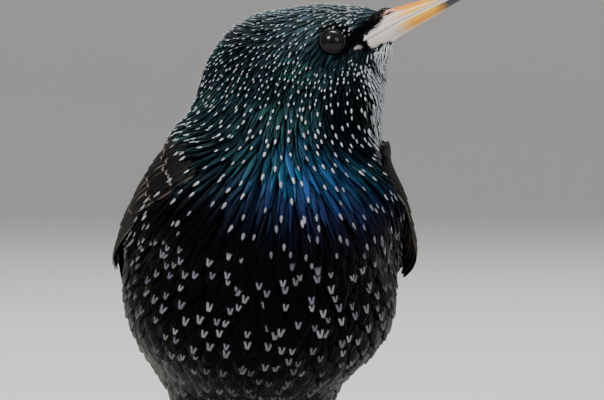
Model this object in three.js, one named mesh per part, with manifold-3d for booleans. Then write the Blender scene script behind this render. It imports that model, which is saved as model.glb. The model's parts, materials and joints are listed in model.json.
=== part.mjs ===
// A common starling in fresh winter plumage, life size, standing on the ground with its head
// turned over its left shoulder and its bill raised. Millimetres, +Z up. The bird faces -Y and its
// left side is +X. Its feet stand on z = 0 and the origin is under the middle of its outline.
import * as THREE from "three";
import { mergeVertices, toCreasedNormals } from "three/addons/utils/BufferGeometryUtils.js";
import Module from "manifold-3d";

const wasm = await Module();
wasm.setup();

// Driving sizes
const GAP = 0.3; // between two pieces that touch
const OUTLINE_MIDDLE = [6.9, 32.1]; // x, y of the middle of the outline, seen from above
const HEAD_TURN = 74; // degrees to the bird's left of straight ahead
const BILL_RISE = 28; // degrees above level
const EYE_LINE = [18.3, -12, 128.6]; // the point midway between the eyes
const EYE_RADIUS = 3.3;
const EYE_DEPTH = 1.75; // from the face down to the eyeball's centre
const BILL_TIP = 39.5; // ahead of the eyes
const BLEND = 2.6; // how softly the masses of the body run together

const v = (x, y, z) => new THREE.Vector3(x, y, z);
const along = (a, b, share) => a + (b - a) * share;
const smooth = (from, to, x) => THREE.MathUtils.smoothstep(x, from, to);
const radians = THREE.MathUtils.degToRad;

// The head's own directions: forward along the bill, right and up
const FORWARD = v(
  Math.sin(radians(HEAD_TURN)) * Math.cos(radians(BILL_RISE)),
  -Math.cos(radians(HEAD_TURN)) * Math.cos(radians(BILL_RISE)),
  Math.sin(radians(BILL_RISE)),
);
const RIGHT = FORWARD.clone().cross(v(0, 0, 1)).normalize();
const UP = RIGHT.clone().cross(FORWARD);
const headPoint = (forward, right, up) =>
  v(...EYE_LINE)
    .addScaledVector(FORWARD, forward)
    .addScaledVector(RIGHT, right)
    .addScaledVector(UP, up);

// Three directions, side, forward and up, for a mass whose long way is given
function facing(x, y, z) {
  const forward = v(x, y, z).normalize();
  const side = forward.clone().cross(v(0, 0, 1)).normalize();
  return [side, forward, side.clone().cross(forward)];
}
const LEVEL = [v(1, 0, 0), v(0, 1, 0), v(0, 0, 1)];
const HEADWAYS = [RIGHT, FORWARD, UP];

// The feathered body as soft masses: centre, radii to the side, forward and up, and directions
const MASSES = [
  [v(0, 8, 69), [35, 45, 29.5], facing(0.05, -0.7, 0.71)], // trunk
  [v(-0.8, -3.5, 62), [34.2, 26.5, 24.5], LEVEL], // belly
  [v(1, -13, 84), [31.3, 23, 25], LEVEL], // breast
  [v(3, 2, 101), [23, 18, 18], LEVEL], // mantle
  [v(5, -9, 104), [23.5, 18, 17], LEVEL], // shoulders
  [v(0.5, -5, 116.5), [16.5, 15.5, 16], LEVEL], // nape
  [headPoint(-8.5, 0, -0.4), [11.9, 17, 12.7], HEADWAYS], // crown and cheeks
  [headPoint(3.5, 0, -2.4), [6.3, 12, 7.2], HEADWAYS], // lores and forehead
  [v(18.3, -14.5, 114), [10.6, 12, 11.5], LEVEL], // throat
  [v(0, 38, 55.5), [16, 27, 12], facing(0, -0.82, 0.57)], // rump
  [v(-2.5, 12, 45), [17.5, 24, 12.5], LEVEL], // vent
  [v(9, 7, 41.5), [8.5, 12, 10.5], LEVEL], // left thigh
  [v(-12.5, 7, 41.5), [9.5, 12, 10.5], LEVEL], // right thigh
];

// Roughly the distance from the plumage's surface, below zero inside it
function plumage(point) {
  let sum = 0;
  for (const [centre, radii, ways] of MASSES) {
    const away = point.clone().sub(centre);
    const local = ways.map((way) => away.dot(way));
    const near = Math.hypot(...local.map((x, i) => x / radii[i]));
    const slope = Math.hypot(...local.map((x, i) => x / radii[i] ** 2)) + 1e-9;
    sum += Math.exp(THREE.MathUtils.clamp((-near * (near - 1)) / slope / BLEND, -60, 60));
  }
  return -BLEND * Math.log(sum + 1e-30);
}

// The point where a ray from inside first leaves the plumage, grown by level, or its far end
function surfaceAlong(origin, direction, level, reach) {
  const at = (distance) => origin.clone().addScaledVector(direction, distance);
  const step = 1.5;
  let far = step;
  while (far < reach && plumage(at(far)) < level) far += step;
  if (far >= reach) return at(reach);
  let near = far - step;
  for (let i = 0; i < 18; i++) {
    const middle = (near + far) / 2;
    if (plumage(at(middle)) < level) near = middle;
    else far = middle;
  }
  return at(far);
}

function outward(point) {
  const h = 0.05;
  const slope = LEVEL.map(
    (way) =>
      plumage(point.clone().addScaledVector(way, h)) -
      plumage(point.clone().addScaledVector(way, -h)),
  );
  return v(...slope).divideScalar(2 * h);
}

// Moves a point to where the plumage is level away
function settle(point, level) {
  const p = point.clone();
  for (let i = 0; i < 6; i++) {
    const slope = outward(p);
    p.addScaledVector(slope, (level - plumage(p)) / slope.lengthSq());
  }
  return p;
}

// Solids and booleans
function solid(geometry) {
  const bare = geometry.clone();
  for (const name of Object.keys(bare.attributes)) {
    if (name !== "position") bare.deleteAttribute(name);
  }
  const merged = mergeVertices(bare, 1e-4);
  const mesh = new wasm.Mesh({
    numProp: 3,
    vertProperties: merged.attributes.position.array,
    triVerts: new Uint32Array(merged.index.array),
  });
  return new wasm.Manifold(mesh);
}

function geometryOf(manifold) {
  const mesh = manifold.getMesh();
  return new THREE.BufferGeometry()
    .setAttribute("position", new THREE.BufferAttribute(new Float32Array(mesh.vertProperties), 3))
    .setIndex(new THREE.BufferAttribute(new Uint32Array(mesh.triVerts), 1));
}

const join = (pieces) => pieces.reduce((whole, piece) => whole.add(piece));
const largest = (manifold) =>
  manifold.decompose().reduce((a, b) => (b.volume() > a.volume() ? b : a));

// A closed skin from points and faces, turned right side out
function closed(points, faces) {
  let volume = 0;
  for (const [a, b, c] of faces) {
    volume += points[a].dot(points[b].clone().cross(points[c]));
  }
  const turned = volume < 0 ? faces.map(([a, b, c]) => [a, c, b]) : faces;
  return solid(
    new THREE.BufferGeometry()
      .setAttribute(
        "position",
        new THREE.BufferAttribute(new Float32Array(points.flatMap((p) => p.toArray())), 3),
      )
      .setIndex(turned.flat()),
  );
}

// A closed tube through rings of equal counts, with a flat fan over each end
function loft(rings) {
  const count = rings[0].length;
  const points = rings.flat();
  const faces = [];
  for (let i = 0; i + 1 < rings.length; i++) {
    for (let j = 0; j < count; j++) {
      const a = i * count + j;
      const b = i * count + ((j + 1) % count);
      faces.push([a, b, b + count], [a, b + count, a + count]);
    }
  }
  const ends = [
    [rings[0], 0, 1],
    [rings[rings.length - 1], (rings.length - 1) * count, -1],
  ];
  for (const [ring, first, turn] of ends) {
    const hub = points.length;
    points.push(ring.reduce((sum, p) => sum.add(p), v(0, 0, 0)).divideScalar(count));
    for (let j = 0; j < count; j++) {
      const a = first + j;
      const b = first + ((j + 1) % count);
      faces.push(turn > 0 ? [hub, b, a] : [hub, a, b]);
    }
  }
  return closed(points, faces);
}

// A closed plate between two grids of points of the same size
function plate(outer, inner) {
  const rows = outer.length;
  const columns = outer[0].length;
  const points = [...outer.flat(), ...inner.flat()];
  const under = rows * columns;
  const at = (i, j) => i * columns + j;
  const faces = [];
  for (let i = 0; i + 1 < rows; i++) {
    for (let j = 0; j + 1 < columns; j++) {
      const [a, b, c, d] = [at(i, j), at(i, j + 1), at(i + 1, j + 1), at(i + 1, j)];
      faces.push([a, b, c], [a, c, d]);
      faces.push([under + a, under + c, under + b], [under + a, under + d, under + c]);
    }
  }
  const rim = [];
  for (let j = 0; j < columns - 1; j++) rim.push(at(0, j));
  for (let i = 0; i < rows - 1; i++) rim.push(at(i, columns - 1));
  for (let j = columns - 1; j > 0; j--) rim.push(at(rows - 1, j));
  for (let i = rows - 1; i > 0; i--) rim.push(at(i, 0));
  rim.forEach((a, k) => {
    const b = rim[(k + 1) % rim.length];
    faces.push([b, a, under + a], [b, under + a, under + b]);
  });
  return closed(points, faces);
}

// Everything on the far side of a plane, as a large block
function beyond(point, normal) {
  const size = 400;
  const block = new THREE.BoxGeometry(size, size, size).translate(0, 0, size / 2);
  const turn = new THREE.Quaternion().setFromUnitVectors(v(0, 0, 1), normal);
  return solid(block.applyQuaternion(turn).translate(...point.toArray()));
}

// An ellipsoid with its radii along three directions
function ellipsoid(centre, radii, ways, around = 20, down = 12) {
  const frame = new THREE.Matrix4().makeBasis(...ways).setPosition(centre);
  const ball = new THREE.SphereGeometry(1, around, down).scale(...radii);
  return solid(ball.applyMatrix4(frame));
}

// A round limb along points, with a radius at each and nothing of it under the floor
function limb(points, radii, around) {
  const curve = new THREE.CatmullRomCurve3(points);
  const rings = radii.map((radius, i) => {
    const share = i / (radii.length - 1);
    const centre = curve.getPoint(share);
    const way = curve.getTangent(share);
    const side = Math.abs(way.z) > 0.9 ? v(1, 0, 0) : way.clone().cross(v(0, 0, 1)).normalize();
    const top = side.clone().cross(way).normalize();
    return Array.from({ length: around }, (_, j) => {
      const angle = (2 * Math.PI * (j + 0.5)) / around;
      const p = centre
        .clone()
        .addScaledVector(side, radius * Math.cos(angle))
        .addScaledVector(top, radius * Math.sin(angle));
      p.z = Math.max(p.z, 0);
      return p;
    });
  });
  return loft(rings);
}

// Where the body is divided: a point on each cut and the way that it faces
const TAIL_CUT = { at: v(0, 57, 43), way: v(0, 0.82, -0.57).normalize() };
const NECK_CUT = { at: v(3, -8, 107), way: v(0.08, -0.12, 0.98).normalize() };
const HEAD_CUT = { at: headPoint(-6, 0, -7.25), way: v(0.03, 0, 1).normalize() };
const SPARE = 1.5; // how far a piece is made past its cut before it is trimmed

// A stack of flat rings of the plumage along a curved way, trimmed at both ends
function bodyStack(from, fromWay, to, toWay, [leave, arrive], count, around, level = 0) {
  const start = from.clone().addScaledVector(fromWay, -SPARE);
  const end = to.clone().addScaledVector(toWay, SPARE);
  const way = new THREE.CubicBezierCurve3(
    start,
    start.clone().addScaledVector(fromWay, leave),
    end.clone().addScaledVector(toWay, -arrive),
    end,
  );
  const rings = [];
  for (let i = 0; i < count; i++) {
    const share = i / (count - 1);
    const centre = way.getPoint(share);
    const ahead = way.getTangent(share);
    const side = ahead.clone().cross(v(0, 1, 0.2)).normalize();
    const top = side.clone().cross(ahead);
    const ring = [];
    for (let j = 0; j < around; j++) {
      const angle = (2 * Math.PI * j) / around;
      const direction = side.clone().multiplyScalar(Math.cos(angle));
      direction.addScaledVector(top, Math.sin(angle));
      ring.push(surfaceAlong(centre, direction, level, 70));
    }
    rings.push(ring);
  }
  return loft(rings).subtract(beyond(from, fromWay.clone().negate())).subtract(beyond(to, toWay));
}

function torso(level = 0) {
  const way = TAIL_CUT.way.clone().negate();
  return bodyStack(TAIL_CUT.at, way, NECK_CUT.at, NECK_CUT.way, [25, 40], 22, 34, level);
}

function neck() {
  const from = NECK_CUT.at.clone().addScaledVector(NECK_CUT.way, GAP);
  return bodyStack(from, NECK_CUT.way, HEAD_CUT.at, HEAD_CUT.way, [5, 5], 8, 36);
}

// The bill in slices ahead of the eyes: half width, culmen, cutting edge and lower edge
const BILL_SLICES = [
  [4.6, 5.4, 0.2, -3.2, -6.2],
  [8.5, 5.1, 1.0, -3.1, -6.5],
  [12.5, 4.6, 1.5, -2.9, -6.2],
  [16.5, 3.7, 1.3, -2.8, -5.9],
  [21, 3.05, 0.3, -2.9, -5.7],
  [26.5, 2.4, -1.0, -3.1, -5.5],
  [32, 1.8, -2.3, -3.5, -5.3],
  [36.5, 1.2, -3.4, -4.0, -5.0],
  [BILL_TIP, 0.5, -4.2, -4.4, -4.9],
];

// One mandible as a loft. Its flat side is the cutting edge and its round side the culmen or chin
function mandible(upper, grow = 0) {
  const rings = BILL_SLICES.map(([forward, half, culmen, edge, lower]) => {
    const flat = edge + (upper ? GAP / 2 : -GAP / 2) - (upper ? grow : -grow);
    const height = (upper ? culmen - flat : flat - lower) + grow;
    const wide = (upper ? half : half * 0.94) + grow;
    const arc = 10;
    const ring = [];
    for (let j = 0; j <= arc; j++) {
      const angle = (Math.PI * j) / arc;
      const right = wide * Math.cos(angle);
      const rise = height * Math.sin(angle) ** 0.85;
      ring.push(headPoint(forward, right, flat + (upper ? rise : -rise)));
    }
    return ring;
  });
  return loft(rings);
}

function billUpper() {
  const pits = [-1, 1].map((side) =>
    ellipsoid(headPoint(16.9, side * 3.25, -0.2), [1.1, 1.5, 0.55], HEADWAYS, 12, 8),
  );
  return pits.reduce((bill, pit) => bill.subtract(pit), mandible(true));
}

// The eyes sit on the field's own surface, so that they go as deep on both sides
function eyeCentre(side) {
  const middle = headPoint(0, 0, 0);
  const face = surfaceAlong(middle, RIGHT.clone().multiplyScalar(side), 0, 30);
  return face.addScaledVector(RIGHT, -side * EYE_DEPTH);
}

function lid(side) {
  const rim = new THREE.TorusGeometry(EYE_RADIUS + 0.3, 0.5, 5, 20).scale(1.06, 0.98, 1);
  const frame = new THREE.Matrix4().makeBasis(FORWARD, UP, FORWARD.clone().cross(UP));
  const at = eyeCentre(side).addScaledVector(RIGHT, side * (EYE_DEPTH + 0.05));
  return solid(rim.applyMatrix4(frame.setPosition(at)));
}

function head() {
  const centre = headPoint(-5, 0, -1);
  const around = 26;
  const rings = [];
  const down = 17;
  for (let i = 1; i < down; i++) {
    const tilt = (Math.PI * i) / down;
    const ring = [];
    for (let j = 0; j < around; j++) {
      const turn = (2 * Math.PI * j) / around;
      const direction = FORWARD.clone()
        .multiplyScalar(Math.cos(tilt))
        .addScaledVector(RIGHT, Math.sin(tilt) * Math.cos(turn))
        .addScaledVector(UP, Math.sin(tilt) * Math.sin(turn));
      ring.push(surfaceAlong(centre, direction, 0, 32));
    }
    rings.push(ring);
  }
  const cut = HEAD_CUT.at.clone().addScaledVector(HEAD_CUT.way, GAP);
  let whole = loft(rings).subtract(beyond(cut, HEAD_CUT.way.clone().negate()));
  for (const side of [-1, 1]) {
    whole = whole.add(lid(side));
    const socket = EYE_RADIUS + GAP;
    whole = whole.subtract(
      ellipsoid(eyeCentre(side), [socket, socket, socket], HEADWAYS, 16, 10),
    );
  }
  whole = whole.subtract(mandible(true, GAP)).subtract(mandible(false, GAP));
  return largest(whole);
}

const eye = (side) =>
  ellipsoid(eyeCentre(side), [EYE_RADIUS, EYE_RADIUS, EYE_RADIUS], HEADWAYS, 16, 10);

// One feather: a thin blade along a line on a surface. place(share, across, height) gives points
// off that surface, and lift is the height of its root and of its tip
const TIP_FROM = 0.74; // where along a feather its tip begins to round off
function vane({ place, width, lift, thick = 0.6, roll = 0, blunt = 0.35, bends = [0.37] }) {
  const rings = [0, ...bends, TIP_FROM, 0.93, 1].map((share) => {
    const centre = place(share, 0, 0);
    const normal = place(share, 0, 1).sub(centre).normalize();
    const side = place(share, 0.5, 0).sub(place(share, -0.5, 0));
    const ahead = side.clone().cross(normal);
    side.copy(normal).cross(ahead).normalize();
    const round = Math.max(0, (share - TIP_FROM) / (1 - TIP_FROM));
    const wide = width * Math.min(1, 0.5 + 2 * share) * along(Math.sqrt(1 - round ** 2), 1, blunt);
    const height = along(lift[0], lift[1], share);
    const half = (thick / 2) * (share === 1 ? 0.6 : 1);
    return [[-1, -1], [1, -1], [1, 1], [-1, 1]].map(([across, face]) =>
      centre
        .clone()
        .addScaledVector(side, across * wide)
        .addScaledVector(normal, height + roll * across * wide + face * half),
    );
  });
  return loft(rings);
}

// The folded wing's lower and upper edge on the bird's left, from the wrist to the wing tip
const WING_LOWER = [
  [27, -27, 97],
  [33.5, -14, 86],
  [38, 0, 74.5],
  [35.5, 14, 66],
  [30, 30, 56],
  [23, 47, 46],
  [14.5, 65, 36],
  [9.5, 83, 25],
];
const WING_UPPER = [
  [20, -13, 103.5],
  [21, 0, 103],
  [17, 13, 97.5],
  [12, 26, 87],
  [8.5, 39, 74.5],
  [6, 53, 60],
  [4.6, 69, 43],
  [4.6, 84, 28],
];
// The right wing's wrist lies further forward. These shift the first points of its lower edge
const WING_FORWARD = [
  [-6, -4, 1],
  [-5, -8, 1],
  [-2.5, -5, 1],
];
const WING_CLEAR = 1.15; // from the plumage to the wing's inner face
const WING_THICK = 1.5;
const WING_FLARE = { left: 2.8, right: 1.6 }; // how far the lower edge's corner stands off the flank
const WING_SHIFT = 1.8; // that corner lies this much lower on the left and higher on the right

function wingPlace(side) {
  const edge = (points) => new THREE.CatmullRomCurve3(points.map(([x, y, z]) => v(side * x, y, z)));
  const right = side < 0;
  const flare = right ? WING_FLARE.right : WING_FLARE.left;
  const lower = edge(
    WING_LOWER.map((point, i) =>
      point.map((value, axis) => value + (right && WING_FORWARD[i] ? WING_FORWARD[i][axis] : 0)),
    ),
  );
  const upper = edge(WING_UPPER);
  return (length, across, height) => {
    const near = THREE.MathUtils.clamp(across, -0.1, 1.1);
    const share = Math.min(length, 1);
    const corner = Math.exp(-(((share - 0.29) / 0.13) ** 2)) * (1 - near) ** 2;
    const flat = lower.getPoint(share).lerp(upper.getPoint(share), near);
    flat.z -= side * WING_SHIFT * corner;
    const level = WING_CLEAR + flare * corner;
    const free = plumage(flat) * smooth(0.5, 0.75, share);
    const base = settle(flat, Math.max(level, free));
    return base.addScaledVector(outward(base).normalize(), height);
  };
}

// The wing's feathers in tiers, the lowest layer first. The first and the last feather of each
// tier run from root to tip, in shares of the wing's length and of its depth from the lower edge
const WING_TIERS = [
  [6, 2.6, [0.7, 0.9], [[0.46, 0.14], [0.995, 0.25]], [[0.44, 0.5], [0.78, 0.62]]], // primaries
  [4, 3, [1, 1.6], [[0.36, 0.16], [0.62, 0.22]], [[0.34, 0.52], [0.71, 0.62]]], // secondaries
  [3, 3.5, [1.1, 2], [[0.32, 0.62], [0.68, 0.7]], [[0.32, 0.86], [0.56, 0.9]]], // tertials
  [2, 2.6, [1.1, 1.8], [[0.2, 0.08], [0.44, 0.08]], [[0.2, 0.2], [0.42, 0.2]]], // lower coverts
  [6, 2.6, [1.2, 2.1], [[0.22, 0.3], [0.41, 0.3]], [[0.22, 0.8], [0.44, 0.82]]], // greater coverts
  [4, 3.9, [1.2, 2.2], [[0.12, 0.22], [0.29, 0.2]], [[0.12, 0.76], [0.31, 0.78]]], // median coverts
  [3, 4, [1.4, 2.3], [[0.08, 0.86], [0.27, 0.88]], [[0.26, 0.9], [0.46, 0.93]]], // scapulars
];

function wing(side) {
  const place = wingPlace(side);
  const rows = 11;
  const columns = 6;
  const reach = 0.57;
  const grid = (height) =>
    Array.from({ length: rows }, (_, i) =>
      Array.from({ length: columns }, (_, j) => {
        const length = (reach * i) / (rows - 1);
        const across = j / (columns - 1);
        return place(length, across, height(length / reach, across));
      }),
    );
  const body = (length, across) => {
    const round = Math.sqrt(Math.sin(Math.PI * along(0.06, 0.94, across)));
    const thick = (WING_THICK - 0.55) * smooth(0, 0.25, length) * (1 - 0.6 * smooth(0.5, 1, length));
    return 0.55 + thick * round;
  };
  const pieces = [plate(grid(body), grid(() => 0))];
  for (const [count, width, lift, first, last] of WING_TIERS) {
    const long = first[1][0] > 0.6;
    for (let i = 0; i < count; i++) {
      const share = i / (count - 1);
      const [from, to] = [0, 1].map((end) =>
        [0, 1].map((axis) => along(first[end][axis], last[end][axis], share)),
      );
      const line = (t, step, height) =>
        place(along(from[0], to[0], t), along(from[1], to[1], t) + step * 0.06, height);
      pieces.push(vane({ place: line, width, lift, roll: -0.06, bends: long ? [0.4] : [] }));
    }
  }
  return largest(join(pieces));
}

// The tail: a root block, six pairs of tail feathers and the coverts over their base
const TAIL_LENGTH = 56;
const TAIL_DROP = 40; // degrees below level
const TAIL_ROOT = [8.6, 5.4]; // half width and half height where it leaves the rump
const TAIL_ROOT_LENGTH = 21;
function tail() {
  const away = v(0, Math.cos(radians(TAIL_DROP)), -Math.sin(radians(TAIL_DROP)));
  const top = v(0, -away.z, away.y);
  const start = TAIL_CUT.at.clone().addScaledVector(TAIL_CUT.way, GAP);
  const at = (ahead, across, height) =>
    start
      .clone()
      .addScaledVector(away, ahead)
      .addScaledVector(v(1, 0, 0), across)
      .addScaledVector(top, height);
  const block = [0, 0.25, 0.5, 0.75, 1].map((share) => {
    const half = along(TAIL_ROOT[0], 7.4, share);
    const high = along(TAIL_ROOT[1], 1, share ** 0.7);
    return Array.from({ length: 14 }, (_, j) => {
      const angle = (2 * Math.PI * j) / 14;
      const lean = share === 0 ? 0.09 * high * Math.sin(angle) : 0;
      return at(TAIL_ROOT_LENGTH * share - lean, half * Math.cos(angle), high * Math.sin(angle));
    });
  });
  const pieces = [loft(block).subtract(beyond(start, TAIL_CUT.way.clone().negate()))];
  for (const side of [-1, 1]) {
    for (let pair = 0; pair < 6; pair++) {
      const root = 1 + 0.95 * pair;
      const spread = 1.7 + 1.35 * pair;
      const length = TAIL_LENGTH - 1.6 + 0.5 * Math.min(pair, 4);
      const line = (t, step, height) =>
        at(along(6, length, t), side * along(root, spread, t) + 2 * step, height - 0.62 * pair + 1.4);
      pieces.push(vane({ place: line, width: 4, lift: [0, 0], roll: side * 0.05, blunt: 0.55 }));
    }
    for (let covert = 0; covert < 2; covert++) {
      const line = (t, step, height) =>
        at(
          along(1, 24 - 3 * covert, t),
          side * (2.1 + 3 * covert) + 2 * step,
          along(3.6 - 0.8 * covert, 2.9, t) + height,
        );
      pieces.push(vane({ place: line, width: 2.4, lift: [0, 0.2], thick: 0.9 }));
    }
  }
  return largest(join(pieces));
}

// Legs. Each runs from the thigh's feathers to the heel, down the scaled tarsus to the toes
const STANCE = 12; // from the middle plane to each foot
const HEEL = [20, 29]; // y, z
const ANKLE = [3, 4.6]; // y, z of the joint over the toes
const TARSUS_WAY = v(0, ANKLE[0] - HEEL[0], ANKLE[1] - HEEL[1]).normalize();
// Where a foot ends and its tarsus begins, a gap apart
function ankleCut(side) {
  return v(side * STANCE, ANKLE[0] + 0.75, ANKLE[1] + 0.85);
}

function shin(side) {
  const trousers = limb(
    [v(side * 11.4, 8, 38), v(side * 11.8, 14.5, 34), v(side * STANCE, HEEL[0] - 1.4, HEEL[1] + 1)],
    [7.2, 6.6, 5.6, 4.4, 3.1],
    14,
  );
  const cut = v(side * STANCE, HEEL[0], HEEL[1] - 0.2);
  return largest(trousers.subtract(torso(GAP)).subtract(beyond(cut, TARSUS_WAY)));
}

function tarsus(side) {
  const from = v(side * STANCE, HEEL[0], HEEL[1] - 0.2).addScaledVector(TARSUS_WAY, GAP);
  const to = ankleCut(side).addScaledVector(TARSUS_WAY, -GAP);
  const scutes = 8;
  const lip = 0.9; // how far down a scute its narrow end is
  const rings = [];
  for (let i = 0; i < scutes; i++) {
    for (const [part, swell] of [[0.05, 1.06], [lip, 0.94]]) {
      const share = (i + part) / (scutes - 1 + lip);
      const knob = 1 + 0.45 * Math.exp(-((share / 0.1) ** 2)) + 0.15 * smooth(0.85, 1, share);
      rings.push([share, 1.5 * swell * knob]);
    }
  }
  const way = to.clone().sub(from).normalize();
  const across = v(1, 0, 0);
  const back = across.clone().cross(way).normalize();
  return loft(
    rings.map(([share, radius]) =>
      Array.from({ length: 10 }, (_, j) => {
        const angle = (2 * Math.PI * j) / 10;
        const deep = radius * 1.2 * Math.sin(angle);
        return from
          .clone()
          .lerp(to, share)
          .addScaledVector(across, radius * 0.85 * Math.cos(angle))
          .addScaledVector(back, deep);
      }),
    ),
  );
}

// Toes: turn from straight ahead, length without the claw, radius and number of joints
const TOES = [
  { name: "middle", turn: 2, length: 19.5, radius: 1.3, joints: 4 },
  { name: "inner", turn: -26, length: 13.5, radius: 1.2, joints: 3 },
  { name: "outer", turn: 27, length: 14.5, radius: 1.15, joints: 4 },
  { name: "hind", turn: 182, length: 11, radius: 1.35, joints: 2 },
];

function toeLine(side, { turn, length }) {
  const angle = radians(turn) * side;
  const way = v(Math.sin(angle), -Math.cos(angle), 0);
  const root = v(side * STANCE, ANKLE[0], 0);
  return (distance, height) => root.clone().addScaledVector(way, distance).add(v(0, 0, height));
}

function foot(side) {
  const ankle = v(side * STANCE, ANKLE[0] + 0.5, 3.5);
  const pieces = [
    ellipsoid(ankle, [2.3, 2.8, 2.8], LEVEL, 10, 7).subtract(
      beyond(ankleCut(side), TARSUS_WAY.clone().negate()),
    ),
    ellipsoid(v(side * STANCE, ANKLE[0] - 1, 1.5), [3, 3.6, 1.45], LEVEL, 10, 5),
  ];
  for (const toe of TOES) {
    const at = toeLine(side, toe);
    const steps = toe.joints * 2;
    const radii = Array.from({ length: steps + 1 }, (_, i) => {
      const pads = i % 2 ? 1.08 : 0.92;
      return toe.radius * pads * along(1.12, 0.82, i / steps);
    });
    const middle = at(toe.length * 0.35, toe.radius * 0.92);
    const line = [at(0.6, 2), middle, at(toe.length, toe.radius * 0.72)];
    pieces.push(limb(line, radii, 7));
  }
  return largest(join(pieces));
}

function claw(side, toe) {
  const at = toeLine(side, toe);
  const size = toe.name === "hind" ? 1.3 : toe.name === "middle" ? 1.1 : 0.92;
  const line = [
    at(toe.length + GAP, toe.radius * 0.95),
    at(toe.length + GAP + 1.9 * size, toe.radius + 0.75 * size),
    at(toe.length + GAP + 3.8 * size, toe.radius + 0.35 * size),
    at(toe.length + GAP + 5.2 * size, 0.35),
  ];
  return limb(line, [0.85, 0.82, 0.66, 0.42, 0.14].map((r) => r * size ** 0.6), 7);
}

// Materials
const material = (color, roughness, metalness = 0) =>
  new THREE.MeshStandardMaterial({ color, roughness, metalness });
const plumageBlack = material(0x15171a, 0.45, 0.2);
const hackleTeal = material(0x163a44, 0.35, 0.4);
const faceGrey = material(0x3a4043, 0.5, 0.1);
const wingBrown = material(0x2a231d, 0.55);
const horn = material(0xd9b872, 0.35);
const hornPale = material(0xd8d0c4, 0.35);
const eyeBrown = material(0x1b120d, 0.05);
const legRed = material(0x7d4a3a, 0.5);
const clawHorn = material(0x2b2320, 0.35);

// The bird
const bird = new THREE.Group();
function add(name, shape, look) {
  const mesh = new THREE.Mesh(toCreasedNormals(geometryOf(shape), radians(30)), look);
  mesh.name = name;
  bird.add(mesh);
}

add("torso", torso(), plumageBlack);
add("neck", neck(), hackleTeal);
add("head", head(), faceGrey);
add("bill_upper", billUpper(), horn);
add("bill_lower", mandible(false), hornPale);
add("tail", tail(), wingBrown);
for (const [name, side] of [["left", 1], ["right", -1]]) {
  add(`eye_${name}`, eye(-side), eyeBrown);
  add(`wing_${name}`, wing(side), wingBrown);
  add(`shin_${name}`, shin(side), plumageBlack);
  add(`tarsus_${name}`, tarsus(side), legRed);
  add(`foot_${name}`, foot(side), legRed);
  for (const toe of TOES) add(`claw_${name}_${toe.name}`, claw(side, toe), clawHorn);
}
bird.position.set(-OUTLINE_MIDDLE[0], -OUTLINE_MIDDLE[1], 0);

export default bird;
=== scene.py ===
"""A common starling in spotted winter plumage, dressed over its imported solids."""

import json
import math

import bpy
import numpy as np
from bpy.props import FloatProperty, FloatVectorProperty, IntProperty, PointerProperty
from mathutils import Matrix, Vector, kdtree

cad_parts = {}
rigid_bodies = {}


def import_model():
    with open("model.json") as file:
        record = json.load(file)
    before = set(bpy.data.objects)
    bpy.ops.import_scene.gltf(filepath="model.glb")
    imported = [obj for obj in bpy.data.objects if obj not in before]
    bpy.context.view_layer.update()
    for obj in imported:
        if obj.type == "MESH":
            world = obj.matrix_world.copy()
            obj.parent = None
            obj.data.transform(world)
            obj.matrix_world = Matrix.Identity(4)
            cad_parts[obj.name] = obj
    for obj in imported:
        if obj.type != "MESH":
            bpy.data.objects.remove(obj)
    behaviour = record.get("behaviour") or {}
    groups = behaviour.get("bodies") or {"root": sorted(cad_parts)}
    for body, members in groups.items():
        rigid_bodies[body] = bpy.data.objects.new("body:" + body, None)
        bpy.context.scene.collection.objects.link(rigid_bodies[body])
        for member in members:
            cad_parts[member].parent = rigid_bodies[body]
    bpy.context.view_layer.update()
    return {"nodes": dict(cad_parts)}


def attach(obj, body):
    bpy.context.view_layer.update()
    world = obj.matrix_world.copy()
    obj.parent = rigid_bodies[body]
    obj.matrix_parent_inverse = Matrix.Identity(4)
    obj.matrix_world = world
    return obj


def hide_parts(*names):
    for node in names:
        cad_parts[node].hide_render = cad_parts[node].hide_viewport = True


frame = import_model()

bl_info = {
    "name": "Starling in winter plumage",
    "version": (1, 0, 0),
    "blender": (4, 5, 0),
    "location": "3D View > Sidebar > Starling",
    "description": "Skin, feathers, eyes, bill, legs and stage of a life-size starling",
    "category": "Object",
}

# The bird's own frame is in millimetres, like its solids. It faces -Y and its left is +X
MM = 0.001
OUTLINE_MIDDLE = np.array([6.9, 32.1, 0.0])  # stands at the origin of the shared frame
HEAD_TURN = math.radians(74)  # to the bird's left
BILL_RISE = math.radians(28)
EYE_LINE = np.array([18.3, -12.0, 128.6])  # the middle between the eyes
EYE_RADIUS = 3.3
EYE_DEPTH = 1.75  # how far an eyeball's middle lies inside the face
BLEND = 2.6  # how softly the masses run into one another
SLOPE_STEP = 0.05
SEED = 11
# How thick a feather is: on the wings, in the tail, in the coat and on the face
WING_VANE, TAIL_VANE, COAT_VANE, LOOSE_VANE = 0.14, 0.2, 0.1, 0.08


def unit(vector):
    """The same direction at length 1."""
    vector = np.asarray(vector, float)
    return vector / np.linalg.norm(vector, axis=-1, keepdims=True)


FORWARD = np.array([
    math.sin(HEAD_TURN) * math.cos(BILL_RISE),
    -math.cos(HEAD_TURN) * math.cos(BILL_RISE),
    math.sin(BILL_RISE),
])
RIGHT = unit(np.cross(FORWARD, (0, 0, 1)))
UP = np.cross(RIGHT, FORWARD)
HEADWAYS = np.array([RIGHT, FORWARD, UP])
LEVEL = np.eye(3)


def head_point(forward, right, up):
    """A point by its distances ahead, to the bird's right and above the middle of the eyes."""
    return EYE_LINE + forward * FORWARD + right * RIGHT + up * UP


def in_head(points):
    """Distances ahead, to the right and above the middle of the eyes."""
    away = points - EYE_LINE
    return away @ FORWARD, away @ RIGHT, away @ UP


def facing(x, y, z):
    """Right, forward and up for a mass whose long axis points along x, y, z."""
    forward = unit((x, y, z))
    side = unit(np.cross(forward, (0, 0, 1)))
    return np.array([side, forward, np.cross(side, forward)])


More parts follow.
